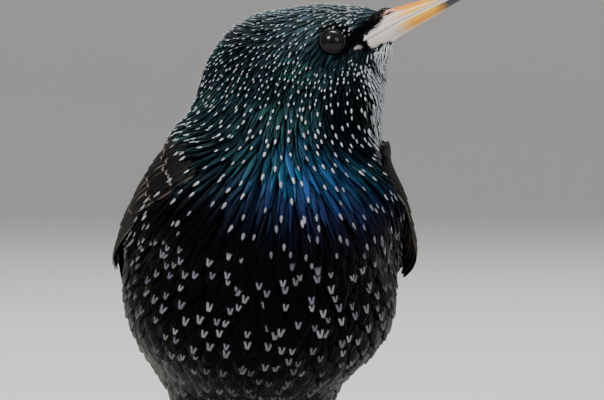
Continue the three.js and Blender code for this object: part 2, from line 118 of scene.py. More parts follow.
# The feathered body as soft masses, the same as in the solids
MASSES = [
    ((0, 8, 69), (35, 45, 29.5), facing(0.05, -0.7, 0.71)),  # trunk
    ((-0.8, -3.5, 62), (34.2, 26.5, 24.5), LEVEL),  # belly
    ((1, -13, 84), (31.3, 23, 25), LEVEL),  # breast
    ((3, 2, 101), (23, 18, 18), LEVEL),  # mantle
    ((5, -9, 104), (23.5, 18, 17), LEVEL),  # shoulders
    ((0.5, -5, 116.5), (16.5, 15.5, 16), LEVEL),  # nape
    (head_point(-8.5, 0, -0.4), (11.9, 17, 12.7), HEADWAYS),  # crown and cheeks
    (head_point(3.5, 0, -2.4), (6.3, 12, 7.2), HEADWAYS),  # lores and forehead
    ((18.3, -14.5, 114), (10.6, 12, 11.5), LEVEL),  # throat
    ((0, 38, 55.5), (16, 27, 12), facing(0, -0.82, 0.57)),  # rump
    ((-2.5, 12, 45), (17.5, 24, 12.5), LEVEL),  # vent
    ((9, 7, 41.5), (8.5, 12, 10.5), LEVEL),  # left thigh
    ((-12.5, 7, 41.5), (9.5, 12, 10.5), LEVEL),  # right thigh
]
SHIN_WAY = (0, 0.77, -0.64)
MASSES += [
    ((side * across, y, z), radii, facing(*SHIN_WAY))
    for side in (-1, 1)
    for across, y, z, radii in (
        (11.6, 11.5, 36.0, (5.6, 6.5, 5.6)),
        (11.8, 15.6, 32.7, (3.7, 5.2, 3.7)),
        (12.0, 18.4, 30.2, (1.9, 2.8, 1.9)),
    )
]


def plumage(points):
    """Roughly the distance of points from the plumage's surface, below zero inside it."""
    total = np.zeros(len(points))
    for centre, radii, ways in MASSES:
        local = (points - np.asarray(centre, float)) @ ways.T
        radii = np.asarray(radii, float)
        near = np.linalg.norm(local / radii, axis=1)
        slope = np.linalg.norm(local / radii**2, axis=1) + 1e-9
        total += np.exp(np.clip(-near * (near - 1) / slope / BLEND, -60, 60))
    return -BLEND * np.log(total + 1e-30)


def outward(points):
    """The slope of the plumage at points, which leads straight out of the body."""
    slope = [plumage(points + step) - plumage(points - step) for step in SLOPE_STEP * LEVEL]
    return np.stack(slope, axis=1) / (2 * SLOPE_STEP)


def settle(points, level, steps=3):
    """Moves points to where the plumage is level away."""
    points = np.array(points, float)
    for _ in range(steps):
        slope = outward(points)
        step = (level - plumage(points)) / np.maximum((slope**2).sum(1), 0.05)
        points += np.clip(step, -4, 4)[:, None] * slope
    return points


# The way that the feathers lie: places along the body, the direction there and how far each reaches
LIE = [
    (head_point(14, 0, -1), -FORWARD, 7),
    (head_point(2, 0, 0), -FORWARD - 0.1 * UP, 9),
    (head_point(-12, 0, 0), -0.9 * FORWARD - 0.35 * UP, 10),
    ((-4, -4, 118), (-0.45, 0.1, -1.0), 11),
    ((17, -16, 117), (-0.05, 0.0, -1.0), 10),
    ((4, -10, 104), (-0.05, 0.0, -1.0), 14),
    ((1, -6, 88), (0, 0.12, -1.0), 17),
    ((0, 4, 70), (-0.12, 0.42, -0.85), 19),
    ((-2, 10, 52), (-0.1, 0.75, -0.6), 17),
    ((0, 40, 54), (0, 0.82, -0.57), 18),
    ((12, 16, 32), SHIN_WAY, 5),
    ((-12, 16, 32), SHIN_WAY, 5),
]
# The hackles spread over the breast from this line down its middle
FAN_MIDDLE = 3.0
FAN_REACH = 27


def lie_weights(points):
    """How much each place of LIE counts at points, adding up to 1."""
    weights = []
    for centre, _, reach in LIE:
        away = ((points - np.asarray(centre, float)) ** 2).sum(1)
        weights.append(np.exp(-away / (2 * reach**2)) + 1e-12)
    weights = np.stack(weights, axis=1)
    return weights / weights.sum(1, keepdims=True)


def lie(points):
    """The direction along the surface in which a feather points."""
    way = lie_weights(points) @ unit([direction for _, direction, _ in LIE])
    breast = bell(points[:, 2], 92, 19) * ramp(8, -6, points[:, 1])
    way[:, 0] += breast * (points[:, 0] - FAN_MIDDLE) / FAN_REACH
    normal = unit(outward(points))
    return unit(way - (way * normal).sum(1, keepdims=True) * normal)


def unwrap(points):
    """Places on an unwrap of the body round its own long axis, from 0 to 1 each way."""
    weights = lie_weights(points)
    centre = weights @ np.array([np.asarray(place, float) for place, _, _ in LIE])
    axis = unit(weights @ unit([direction for _, direction, _ in LIE]))
    side = unit(np.cross(axis, np.tile((0.15, 1.0, 0.25), (len(points), 1))))
    front = np.cross(axis, side)
    away = points - centre
    angle = np.arctan2((away * side).sum(1), -(away * front).sum(1))
    along = weights @ np.linspace(0, 1, len(LIE))
    return np.stack([0.5 + angle / (2 * math.pi) * 0.96, 0.02 + 0.96 * along], axis=1)


def ramp(low, high, value):
    """0 at low and 1 at high, smooth between them and level beyond."""
    t = np.clip((value - low) / (high - low), 0, 1)
    return t * t * (3 - 2 * t)


def bell(value, middle, reach):
    """1 at the middle, fading to both sides over the reach."""
    return np.exp(-(((value - middle) / reach) ** 2))


# Colours


def linear(hex_colour):
    """An sRGB hex colour as linear red, green and blue."""
    channels = [int(hex_colour[i:i + 2], 16) / 255 for i in (0, 2, 4)]
    return tuple(c / 12.92 if c <= 0.04045 else ((c + 0.055) / 1.055) ** 2.4 for c in channels)


# The black plumage and its sheen by place
SHEEN_TEAL = "2b4a54"
SHEEN_BLUE = "1c5486"
SHEEN_VIOLET = "33285a"
SHEEN_GREEN = "24453c"
BELLY_BLACK = "050406"
# Painted highlight: a lighter grey laid on the top of the head, where light falls from above
FLANK_BROWN = "2e261c"
CROWN_HIGHLIGHT = "52626a"
# The feathers' pale tips, the chin and the bristles of the lores
MARK_WHITE = "b6bcc1"
MARK_LILAC = "8e8da0"
MARK_BUFF = "a39680"
CHIN_WHITE = "cfd3d6"
CHIN_BLACK = "101214"
BRISTLE_BLACK = "070708"
# Wings and tail
WING_BROWN = "0a0806"
TAIL_BROWN = "0e0b09"
SHAFT_BLACK = "0c0908"
WORN_EDGE = "857f76"
# Eyes and lids
PUPIL = "020202"
IRIS = "0b0806"
EYE_RIM = "0e0c0b"
LID = "080707"
# Bill, from its pale root to its slate tip
ROOT_SHADE = "a89d94"
ROOT_LIGHT = "d9d2cc"
BILL_YELLOW = "e0a600"
BILL_AMBER = "da9200"
CULMEN_RED = "c8481c"
TIP_SLATE = "23262f"
CUTTING_EDGE = "d8d2d2"
# Painted shade for the nostril's slit
NOSTRIL_SHADE = "2a100d"
# Legs and claws
LEG_BROWN = "5c382e"
LEG_CLOUD = "3a2a26"
CLAW = "2b2320"
# Stage
FLOOR = "d9d6d1"
STUDIO_WHITE = "e6e8ec"


def coat_colour(points, rng):
    """The ground colour of the plumage at points, with each feather a little different. The sheen's
    colours are painted into it by place, with a painted highlight on the top of the head and
    painted shade under the chin, below the turned head and low on the body.
    """
    count = len(points)
    forward, _, up = in_head(points)
    x, y, height = points.T
    teal, blue, violet, green, black, brown, crown_highlight = (np.array(linear(colour)) for colour in (
        SHEEN_TEAL, SHEEN_BLUE, SHEEN_VIOLET, SHEEN_GREEN, BELLY_BLACK, FLANK_BROWN, CROWN_HIGHLIGHT,
    ))
    front = ramp(12, -10, y)
    side = np.clip(np.abs(x - 4) / 30, 0, 1)
    neck = ramp(84, 98, height)
    head = ramp(104, 120, height)
    middle = bell(x, 11, 17) * front
    # Painted highlight: the top of the head made lighter, where light falls from above
    crown = head * ramp(-1, 5, up) * ramp(-26, -8, forward)
    wander = np.sin(x * 0.21 + height * 0.16) * np.cos(height * 0.23 + y * 0.1)
    flank = ramp(22, 32, np.abs(x)) * ramp(90, 74, height)
    back = (1 - front) * ramp(112, 100, height)
    colour = black + np.zeros((count, 3))
    for share, tint in (
        (neck * (0.42 - 0.14 * head) * (1 - 0.5 * side), teal),
        (bell(height, 91, 8) * middle * 0.45, blue),
        (bell(height, 83, 6) * middle * 0.25, violet),
        (crown * 0.45, crown_highlight),
        (np.clip(wander, 0, 1) * neck * 0.3, green),
        (flank * 0.12, brown),
        (back * 0.12, green),
    ):
        colour += share[:, None] * (tint - black)
    # Painted shade under the chin and on the side of the neck below the turned head
    chin = ramp(8, 14, forward) * ramp(-8, -14, up)
    shade_under_head = chin + ramp(8, 16, x) * ramp(122, 112, height) * ramp(90, 100, height)
    colour *= (1 - 0.8 * np.clip(shade_under_head, 0, 1))[:, None]
    colour *= (1 - 0.93 * dark_face(forward, up))[:, None]
    # Painted shade: the whole ground darker low on the body
    colour *= (1 - 0.35 * ramp(84, 66, height))[:, None]
    colour *= rng.uniform(0.4, 1.5, (count, 1)) * rng.uniform(0.85, 1.15, (count, 3))
    return np.clip(colour, 0.0009, 1)


# Meshes


def to_frame(points):
    """Places in the bird's own millimetres as places in the shared frame."""
    return (np.asarray(points, float) - OUTLINE_MIDDLE) * MM


def mesh_points(mesh):
    """A mesh's points in the bird's own millimetres."""
    points = np.empty(len(mesh.vertices) * 3, np.float32)
    mesh.vertices.foreach_get("co", points)
    return points.reshape(-1, 3) / MM + OUTLINE_MIDDLE


def mesh_object(name, points, faces):
    """A smooth object from points in the bird's frame and faces of equal size."""
    faces = np.asarray(faces, np.int32)
    mesh = bpy.data.meshes.new(name)
    mesh.vertices.add(len(points))
    mesh.vertices.foreach_set("co", to_frame(points).astype(np.float32).ravel())
    mesh.loops.add(faces.size)
    mesh.loops.foreach_set("vertex_index", faces.ravel())
    mesh.polygons.add(len(faces))
    starts = np.arange(0, faces.size, faces.shape[1], dtype=np.int32)
    mesh.polygons.foreach_set("loop_start", starts)
    mesh.polygons.foreach_set("use_smooth", np.full(len(faces), True))
    mesh.update(calc_edges=True)
    mesh.validate()
    piece = bpy.data.objects.new(name, mesh)
    bpy.context.scene.collection.objects.link(piece)
    return piece


def add_uv(piece, name, per_point):
    """A UV map from one place for each point."""
    mesh = piece.data
    corner = np.empty(len(mesh.loops), np.int32)
    mesh.loops.foreach_get("vertex_index", corner)
    layer = mesh.uv_layers.new(name=name, do_init=False)
    layer.data.foreach_set("uv", per_point[corner].astype(np.float32).ravel())


def add_colours(piece, name, per_point):
    """A colour layer from one to four numbers for each point."""
    layer = piece.data.color_attributes.new(name, "FLOAT_COLOR", "POINT")
    rgba = np.ones((len(per_point), 4), np.float32)
    rgba[:, :per_point.shape[1]] = per_point
    layer.data.foreach_set("color", rgba.ravel())


def ring_faces(rings, around, first=0):
    """Quads of a closed tube of rings, with its ends left to the caller."""
    i, j = np.meshgrid(np.arange(rings - 1), np.arange(around), indexing="ij")
    a = first + i * around + j
    b = first + i * around + (j + 1) % around
    return np.stack([a, b, b + around, a + around], axis=-1).reshape(-1, 4)


# A vane's cross-section: across, and height in thicknesses. Five points of its upper face, then
# one under the shaft
SECTION = np.array([(-1, 0), (-0.5, 0.75), (0, 1.15), (0.5, 0.75), (1, 0), (0, -0.35)])
BAKE_PATCH = 0.003  # a feather's share of the baking map
# A mark is its strength, a drop at 0 or a V at 1, a random draw and its size. The size is held
# in the first unit, in millimetres, and a flight feather's half width in the second
MARK_UNIT = 3.0
WIDTH_UNIT = 10.0


def vanes(name, centres, widths, thick, normals, looks, root_uv, cup=0.12, twist=None):
    """Many closed feathers as one mesh.

    centres is feathers by rings by 3, widths is feathers by rings and normals is like centres.
    Each ring has the six points of SECTION. The first UV map holds each feather's own
    measures in millimetres: across from its shaft, and up from its tip.
    """
    count, rings, _ = centres.shape
    around = len(SECTION)
    ahead = np.gradient(centres, axis=1)
    ahead = unit(ahead + 1e-9)
    side = unit(np.cross(ahead, normals))
    lift = np.cross(side, ahead)
    lift *= np.sign((lift * normals).sum(-1, keepdims=True))
    across = SECTION[:, 0][None, None, :, None]
    height = SECTION[:, 1][None, None, :, None] * thick
    span = widths[:, :, None, None]
    tilt = 0 if twist is None else twist[:, None, None, None]
    points = (
        centres[:, :, None, :]
        + side[:, :, None, :] * across * span
        + lift[:, :, None, :] * (height - cup * span * across**2 + tilt * span * across)
    )
    tube = ring_faces(rings, around)
    root_cap = np.array([[0, 5, 2, 1], [5, 4, 3, 2]])
    tip = (rings - 1) * around
    tip_cap = np.array([[tip, tip + 1, tip + 2, tip + 5], [tip + 5, tip + 2, tip + 3, tip + 4]])
    one = np.concatenate([tube, root_cap, tip_cap])
    faces = (one[None] + (np.arange(count) * rings * around)[:, None, None]).reshape(-1, 4)
    piece = mesh_object(name, points.reshape(-1, 3), faces)
    step = np.linalg.norm(np.diff(centres, axis=1), axis=2)
    length = step.sum(1)
    walked = np.concatenate([np.zeros((count, 1)), np.cumsum(step, axis=1)], axis=1)
    from_tip = length[:, None] - walked
    local_x = np.broadcast_to((across * span)[..., 0], (count, rings, around))
    local_y = np.broadcast_to(from_tip[:, :, None], (count, rings, around))
    add_uv(piece, "Feather", np.stack([local_x, local_y], axis=-1).reshape(-1, 2))
    share = np.broadcast_to((from_tip / length[:, None])[:, :, None], (count, rings, around))
    local = np.stack([local_x / (2 * widths.max(1)[:, None, None]), share - 0.5], axis=-1)
    place = root_uv[:, None, None, :] + local * BAKE_PATCH
    add_uv(piece, "OFBake", place.reshape(-1, 2))
    for layer, values in looks.items():
        add_colours(piece, layer, np.repeat(values, rings * around, axis=0))
    return piece


def stations(rings):
    """Shares of a feather's length, closer together towards its tip."""
    return np.sin(np.linspace(0, math.pi / 2, rings))


def rows(count, *values):
    """A row for each of count feathers or points, from values shared or given one by one."""
    return np.stack([np.broadcast_to(value, count) for value in values], axis=1)


def feather_widths(width, pointed, rings):
    """Half widths from root to tip, round-tipped at 0 and lance-shaped at 1."""
    t = stations(rings)[None, :]
    pointed = pointed[:, None]
    swell = np.minimum(1, 0.35 + 1.5 * t)
    round_tip = np.sqrt(np.clip(1 - (np.clip(t - 0.62, 0, 1) / 0.385) ** 2, 0.002, 1))
    lance = np.clip(1 - np.clip((t - 0.25) / 0.76, 0, 1) ** 1.5, 0.03, 1)
    return width[:, None] * swell * (round_tip * (1 - pointed) + lance * pointed)


def lay(roots, length, rings, sink, tip_level, way_noise, rng):
    """Walks each feather from its root along the lie, rising from sink to tip_level."""
    here = settle(roots, -sink)
    centres = [here]
    wobble = rng.normal(0, 1, len(roots)) * way_noise
    shares = stations(rings)
    for ring in range(1, rings):
        share = shares[ring]
        way = lie(here)
        normal = unit(outward(here))
        way = unit(way + np.cross(normal, way) * wobble[:, None])
        level = -sink + (tip_level + sink) * share**0.75
        here = settle(here + way * (length * (share - shares[ring - 1]))[:, None], level, steps=2)
        centres.append(here)
    centres = np.stack(centres, axis=1)
    flat = centres.reshape(-1, 3)
    return centres, unit(outward(flat)).reshape(centres.shape)


# Materials


KERATIN_IOR = 1.54


def plug(socket, value):
    """Feeds a shader's input from another node, or sets its plain value."""
    value = getattr(value, "socket", value)
    if isinstance(value, bpy.types.NodeSocket):
        socket.id_data.links.new(value, socket)
    else:
        socket.default_value = value


def fill(node, inputs):
    """Gives a node its input values and links."""
    for name, value in inputs.items():
        plug(node.inputs[name], value)


def add_node(tree, kind, inputs=None, **settings):
    """Adds a shader node with its settings, input values and links."""
    node = tree.nodes.new(kind)
    for name, value in settings.items():
        setattr(node, name, value)
    fill(node, inputs or {})
    return node


class Amount:
    """A number that a shader works out, so that sums with it read like plain ones."""

    def __init__(self, socket):
        self.socket = socket

    @property
    def tree(self):
        """The shader that the number belongs to."""
        return self.socket.id_data

    def work(self, operation, *values):
        """One step of a sum."""
        node = add_node(self.tree, "ShaderNodeMath", operation=operation)
        for socket, value in zip(node.inputs, values):
            plug(socket, value)
        return Amount(node.outputs[0])

    def __add__(self, other):
        return self.work("ADD", self, other)

    def __sub__(self, other):
        return self.work("SUBTRACT", self, other)

    def __rsub__(self, other):
        return self.work("SUBTRACT", other, self)

    def __mul__(self, other):
        return self.work("MULTIPLY", self, other)

    def __truediv__(self, other):
        return self.work("DIVIDE", self, other)

    def __pow__(self, other):
        return self.work("POWER", self, other)

    def __abs__(self):
        return self.work("ABSOLUTE", self)

    def least(self, other):
        """The smaller of the two."""
        return self.work("MINIMUM", self, other)

    def clamped(self):
        """The same sum, kept between 0 and 1."""
        self.socket.node.use_clamp = True
        return self


def new_material(name):
    """A material with its tree and its one surface shader."""
    material = bpy.data.materials.new(name)
    material.use_nodes = True
    tree = material.node_tree
    tree.nodes.clear()
    shader = add_node(tree, "ShaderNodeBsdfPrincipled")
    add_node(tree, "ShaderNodeOutputMaterial", {"Surface": shader.outputs[0]})
    return material, tree, shader


def step_up(value, low, high):
    """0 below low, 1 above high, smooth between."""
    inputs = {"Value": value, "From Min": low, "From Max": high}
    kind = "ShaderNodeMapRange"
    return Amount(add_node(value.tree, kind, inputs, interpolation_type="SMOOTHSTEP").outputs[0])


def mix_colour(share, first, second):
    """The first colour at 0 and the second at 1."""
    node = add_node(share.tree, "ShaderNodeMix", data_type="RGBA")
    plug(node.inputs[0], share)
    for socket, colour in ((node.inputs[6], first), (node.inputs[7], second)):
        plug(socket, (*colour, 1.0) if isinstance(colour, tuple) else colour)
    return node.outputs[2]


def shade(colour, tone):
    """A colour made lighter or darker by a tone."""
    inputs = {0: colour, "Scale": tone}
    return add_node(tone.tree, "ShaderNodeVectorMath", inputs, operation="SCALE").outputs[0]


def bump(height, strength, distance):
    """Fine relief, with its height in metres."""
    inputs = {"Height": height, "Strength": strength, "Distance": distance}
    return add_node(height.tree, "ShaderNodeBump", inputs).outputs[0]


def own_place(tree):
    """Places in the piece's own space."""
    return add_node(tree, "ShaderNodeTexCoord").outputs["Object"]


def clouds(tree, scale, detail, place=None):
    """Soft noise in the piece's own space, or at another place."""
    place = own_place(tree) if place is None else place
    inputs = {"Vector": place, "Scale": scale, "Detail": detail}
    return Amount(add_node(tree, "ShaderNodeTexNoise", inputs).outputs[0])


def cells(tree, scale, feature="F1"):
    """Distances inside small random cells."""
    inputs = {"Vector": own_place(tree), "Scale": scale}
    return Amount(add_node(tree, "ShaderNodeTexVoronoi", inputs, feature=feature).outputs[0])


def colour_layer(tree, name):
    """A colour layer's colour, and its fourth number as an amount."""
    node = add_node(tree, "ShaderNodeVertexColor", layer_name=name)
    return node.outputs[0], Amount(node.outputs[1])


def channels(tree, colour):
    """A colour's three numbers as amounts."""
    return map(Amount, add_node(tree, "ShaderNodeSeparateColor", {"Color": colour}).outputs)


def feather_parts(tree):
    """A feather's own measures in millimetres, its mark and its two colours."""
    uv = add_node(tree, "ShaderNodeUVMap", uv_map="Feather").outputs[0]
    x, y, _ = map(Amount, add_node(tree, "ShaderNodeSeparateXYZ", {"Vector": uv}).outputs)
    marks, size = colour_layer(tree, "Marks")
    ground, pale = (colour_layer(tree, name)[0] for name in ("Ground", "Pale"))
    return x, y, channels(tree, marks), size, ground, pale


def barbs(tree, x, y, seed, fineness):
    """Fine slanting lines of barbs, from the shaft to the edge and towards the tip."""
    place = {"X": (y + abs(x) * 0.9) * fineness, "Y": x * 1.2, "Z": seed * 40.0}
    return clouds(tree, 1.6, 3.0, add_node(tree, "ShaderNodeCombineXYZ", place).outputs[0])


def keratin_feather(name, roughness, metallic):
    """Feather keratin over black melanin. Barbs make fine lines beside the shaft, and the layered
    barbules shine in colour like a metal film. The pale tips hold no melanin and are matt."""
    material, tree, shader = new_material(name)
    x, y, (strength, style, seed), size, ground, pale = feather_parts(tree)
    streak = barbs(tree, x, y, seed, fineness=2.6)
    scale = size * MARK_UNIT
    across = abs(x) / scale
    rise = y / scale + (streak - 0.5) * 0.7
    # A drop at the tip
    tall = abs((rise - 1.15) / 1.25) ** 2.0
    broad = (across / 0.58) ** 2.0
    drop = 1.0 - step_up(tall + broad, 0.75, 1.15)
    # Two lobes that meet at the tip
    arm = abs(across - (rise * 0.28 + 0.1))
    vee = 1.0 - step_up(arm, 0.24, 0.42)
    vee = vee * step_up(rise, 0.0, 0.3) * (1.0 - step_up(rise, 2.0, 2.5))
    mask = ((drop * (1.0 - style) + vee * style) * strength).clamped()
    fill(shader, {
        "Base Color": mix_colour(mask, shade(ground, streak * 1.4 + 0.3), pale),
        "Metallic": (1.0 - mask) * metallic,
        "Roughness": (mask * 0.3 + roughness).clamped(),
        "Normal": bump(streak, 0.3, 0.0002),
        "IOR": KERATIN_IOR,
        "Specular IOR Level": 0.04,
    })
    return material


def flight_feather(name):
    """Brown-black flight keratin with a worn pale edge and a darker shaft."""
    material, tree, shader = new_material(name)
    x, y, (strength, _, seed), size, ground, pale = feather_parts(tree)
    streak = barbs(tree, x, y, seed, fineness=3.4)
    inside = size * WIDTH_UNIT - abs(x)
    rim = inside.least(y * 0.8) + (streak - 0.5) * 0.5
    edge = (1.0 - step_up(rim, 0.3, 0.75)) * strength
    shaft = 1.0 - step_up(abs(x), 0.12, 0.3)
    colour = mix_colour(edge * 0.8, shade(ground, streak + 0.5), pale)
    fill(shader, {
        "Base Color": mix_colour(shaft * 0.6, colour, linear(SHAFT_BLACK)),
        "Normal": bump(streak, 0.3, 0.0002),
        "Roughness": 0.5,
        "IOR": KERATIN_IOR,
        "Specular IOR Level": 0.06,
    })
    return material


def give(piece, material):
    """Dresses a piece with its material and puts it on the body."""
    piece.data.materials.clear()
    piece.data.materials.append(material)
    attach(piece, "root")
    return piece


# Skin

SKIN_VOXEL = 1.3
LEG_VOXEL = 0.28


def fused(name, nodes, voxel, extra=()):
    """One closed mesh round copies of the named solids and the extra pieces."""
    parts = []
    for node in nodes:
        part = frame["nodes"][node].copy()
        part.data = part.data.copy()
        part.parent = None
        bpy.context.scene.collection.objects.link(part)
        parts.append(part)
    parts += extra
    for part in bpy.context.scene.objects:
        part.select_set(part in parts)
    bpy.context.view_layer.objects.active = parts[0]
    bpy.ops.object.join()
    whole = parts[0]
    whole.name = name
    whole.hide_set(False)
    whole.hide_render = False
    remesh = whole.modifiers.new("voxels", "REMESH")
    remesh.mode = "VOXEL"
    remesh.voxel_size = voxel * MM
    bpy.ops.object.modifier_apply(modifier="voxels")
    whole.data.polygons.foreach_set("use_smooth", np.full(len(whole.data.polygons), True))
    return whole


def flesh(level):
    """One closed skin from head to shins, level away from the plumage's surface."""
    solids = ("torso", "neck", "head", "shin_left", "shin_right")
    whole = fused("skin", solids, SKIN_VOXEL)
    points = mesh_points(whole.data)
    points = settle(points, level(points), steps=5)
    whole.data.vertices.foreach_set("co", to_frame(points).astype(np.float32).ravel())
    whole.data.update()
    return whole, points


def over_bill(forward, up):
    """How far over the upper edge of the bill's bare side a place on the face is."""
    return up + 2.7 - 0.42 * (forward - 5.3)


def in_horn(forward, up):
    """How far inside the bill's bare side a place on the face is, below zero outside it."""
    below = up + 4.3 + 2.2 * ramp(5.0, 9.4, forward)
    return np.minimum(np.minimum(-over_bill(forward, up), below), forward - 3.2)


def dark_face(forward, up):
    """The black lores over the bill and round the eye."""
    over = over_bill(forward, up)
    lores = ramp(-1.5, 0.2, over) * ramp(3.4, 1.8, over) * ramp(1, 4, forward)
    beside = ramp(5.2, 4.2, np.hypot(forward - 0.3, up + 0.2))
    gape = ramp(3.6, 2.2, np.hypot(forward - 7.2, up + 4.9))
    return np.maximum(np.maximum(lores, beside), gape)


def coat_depth(points):
    """How far the skin lies under the tips: least on the face, most on the belly."""
    forward, right, up = in_head(points)
    face = ramp(-14, 4, forward) * ramp(-16, -6, up)
    horn = ramp(-0.25, 0.35, in_horn(forward, up)) * ramp(2.5, 4, np.abs(right))
    shin = ramp(38, 33, points[:, 2])
    return 1.7 - 1.15 * face + 1.1 * horn - 0.9 * shin


# The hind crown's feathers stand up round this place, by so much and over this reach
REAR_CROWN = head_point(-12, 0, 15)
CROWN_RISE = 3.1
CROWN_REACH = 10
SITES = {}
SITE_COUNT = 170000
FEATHERS_A_PIECE = 2300


def feather_sites(skin, rng):
    """Random places on the skin, dense enough to pick any tract's roots from."""
    mesh = skin.data
    mesh.calc_loop_triangles()
    triangles = np.empty(len(mesh.loop_triangles) * 3, np.int32)
    mesh.loop_triangles.foreach_get("vertices", triangles)
    points = mesh_points(mesh)
    a, b, c = (points[triangles.reshape(-1, 3)[:, k]] for k in range(3))
    area = np.linalg.norm(np.cross(b - a, c - a), axis=1)
    pick = rng.choice(len(area), SITE_COUNT, p=area / area.sum())
    u, w = rng.random((2, len(pick), 1))
    flip = u + w > 1
    u, w = np.where(flip, 1 - u, u), np.where(flip, 1 - w, w)
    return a[pick] + u * (b[pick] - a[pick]) + w * (c[pick] - a[pick])


def search_tree(points):
    """A tree that finds the nearest of many points."""
    tree = kdtree.KDTree(len(points))
    for i, point in enumerate(points):
        tree.insert(point, i)
    tree.balance()
    return tree


def spread(points, spacing, rng):
    """Keeps points that stand at least their own spacing apart."""
    tree = search_tree(points)
    free = np.ones(len(points), bool)
    kept = []
    for i in rng.permutation(len(points)):
        if not free[i]:
            continue
        kept.append(i)
        for _, j, _ in tree.find_range(points[i], spacing[i]):
            free[j] = False
    return np.array(kept, int)


# Wings


WING_LOWER = [
    (27, -27, 97), (33.5, -14, 86), (38, 0, 74.5), (35.5, 14, 66),
    (30, 30, 56), (23, 47, 46), (14.5, 65, 36), (9.5, 83, 25),
]
WING_UPPER = [
    (20, -13, 103.5), (21, 0, 103), (17, 13, 97.5), (12, 26, 87),
    (8.5, 39, 74.5), (6, 53, 60), (4.6, 69, 43), (4.6, 84, 28),
]
# The right wing, which the bird holds further forward, from its wrist back
WING_FORWARD = [(-6, -4, 1), (-5, -8, 1), (-2.5, -5, 1)] + [(0, 0, 0)] * 5
# The wing's stand-off from the plumage, and its lower front corner's flare and rise by side
WING_CLEAR = 0.7
WING_FLARE = {1: 3.6, -1: 1.6}
WING_RAISE = {1: 0.6, -1: 4.5}
WING_CORNER = 0.29
WING_LIFT = 0.55
WING_RINGS = 12


def through(points, share):
    """A smooth curve through points, share of the way along it."""
    points = np.asarray(points, float)
    ends = [2 * points[0] - points[1]], [2 * points[-1] - points[-2]]
    padded = np.concatenate([ends[0], points, ends[1]])
    t = np.clip(share, 0, 1) * (len(points) - 1)
    i = np.minimum(t.astype(int), len(points) - 2)
    t = (t - i)[:, None]
    p0, p1, p2, p3 = (padded[i + k] for k in range(4))
    bend, turn = 2 * p0 - 5 * p1 + 4 * p2 - p3, 3 * p1 - p0 - 3 * p2 + p3
    return 0.5 * (2 * p1 + (p2 - p0) * t + bend * t**2 + turn * t**3)


def wing_edge(side, share):
    """The folded wing's lower edge."""
    points = np.array(WING_LOWER, float)
    if side < 0:
        points += np.array(WING_FORWARD)
    return through(points, share) * np.array([side, 1, 1])


def wing_top(side, share):
    """The folded wing's upper edge."""
    return through(WING_UPPER, share) * np.array([side, 1, 1])


def on_wing(side, length, across, height):
    """Points on the folded wing by share of its length, depth from its lower edge and height."""
    near = np.clip(across, -0.12, 1.12)
    share = np.clip(length, 0, 1)
    low, high = wing_edge(side, share), wing_top(side, share)
    flat = low + (high - low) * near[:, None]
    corner = bell(share, WING_CORNER, 0.13) * (1 - near) ** 2
    flat[:, 2] += WING_RAISE[side] * corner
    free = plumage(flat) * ramp(0.5, 0.75, share)
    base = settle(flat, np.maximum(WING_CLEAR + WING_FLARE[side] * corner, free), steps=5)
    normal = unit(outward(base))
    return base + normal * np.asarray(height)[:, None], normal


# Tiers of the wing, the lowest first: how many, the first and last feather's root and tip in
# shares of the wing's length and depth, half width, height of root and tip, buff edge, pointed
WING_TIERS = [
    ("primaries", 9, ((0.40, 0.10), (0.995, 0.25)), ((0.40, 0.50), (0.76, 0.62)),
     3.4, (0.9, 1.4), 0.55, 0.35),
    ("secondaries", 7, ((0.34, 0.16), (0.62, 0.20)), ((0.32, 0.54), (0.71, 0.62)),
     3.6, (1.5, 2.2), 0.8, 0.1),
    ("tertials", 3, ((0.30, 0.60), (0.68, 0.70)), ((0.30, 0.86), (0.56, 0.90)),
     4.6, (2.0, 3.0), 0.9, 0.1),
    ("edge coverts", 5, ((0.14, 0.02), (0.40, 0.02)), ((0.20, 0.22), (0.43, 0.20)),
     2.4, (1.6, 2.6), 0.9, 0.3),
    ("greater coverts", 11, ((0.20, 0.20), (0.40, 0.20)), ((0.22, 0.80), (0.44, 0.84)),
     2.5, (1.9, 3.1), 1.0, 0.2),
    ("median coverts", 11, ((0.14, 0.10), (0.29, 0.08)), ((0.14, 0.82), (0.33, 0.84)),
     2.3, (2.0, 3.3), 1.0, 0.15),
    ("third lesser coverts", 11, ((0.09, 0.08), (0.215, 0.06)), ((0.09, 0.84), (0.25, 0.86)),
     2.2, (1.9, 3.4), 1.0, 0.15),
    ("second lesser coverts", 11, ((0.04, 0.06), (0.145, 0.04)), ((0.04, 0.86), (0.175, 0.88)),
     2.2, (1.7, 3.4), 1.0, 0.15),
    ("first lesser coverts", 11, ((-0.02, 0.06), (0.08, 0.04)), ((-0.02, 0.88), (0.105, 0.9)),
     2.1, (1.0, 3.3), 1.0, 0.15),
    ("rear scapulars", 5, ((0.14, 0.86), (0.28, 0.88)), ((0.28, 0.90), (0.46, 0.94)),
     4.0, (1.9, 3.5), 0.9, 0.2),
    ("scapulars", 7, ((0.00, 0.80), (0.12, 0.80)), ((0.16, 0.90), (0.32, 0.94)),
     3.4, (1.9, 3.7), 1.0, 0.2),
]
LEFT_HIDDEN = ("first lesser coverts",)  # under the breast's feathers on the left


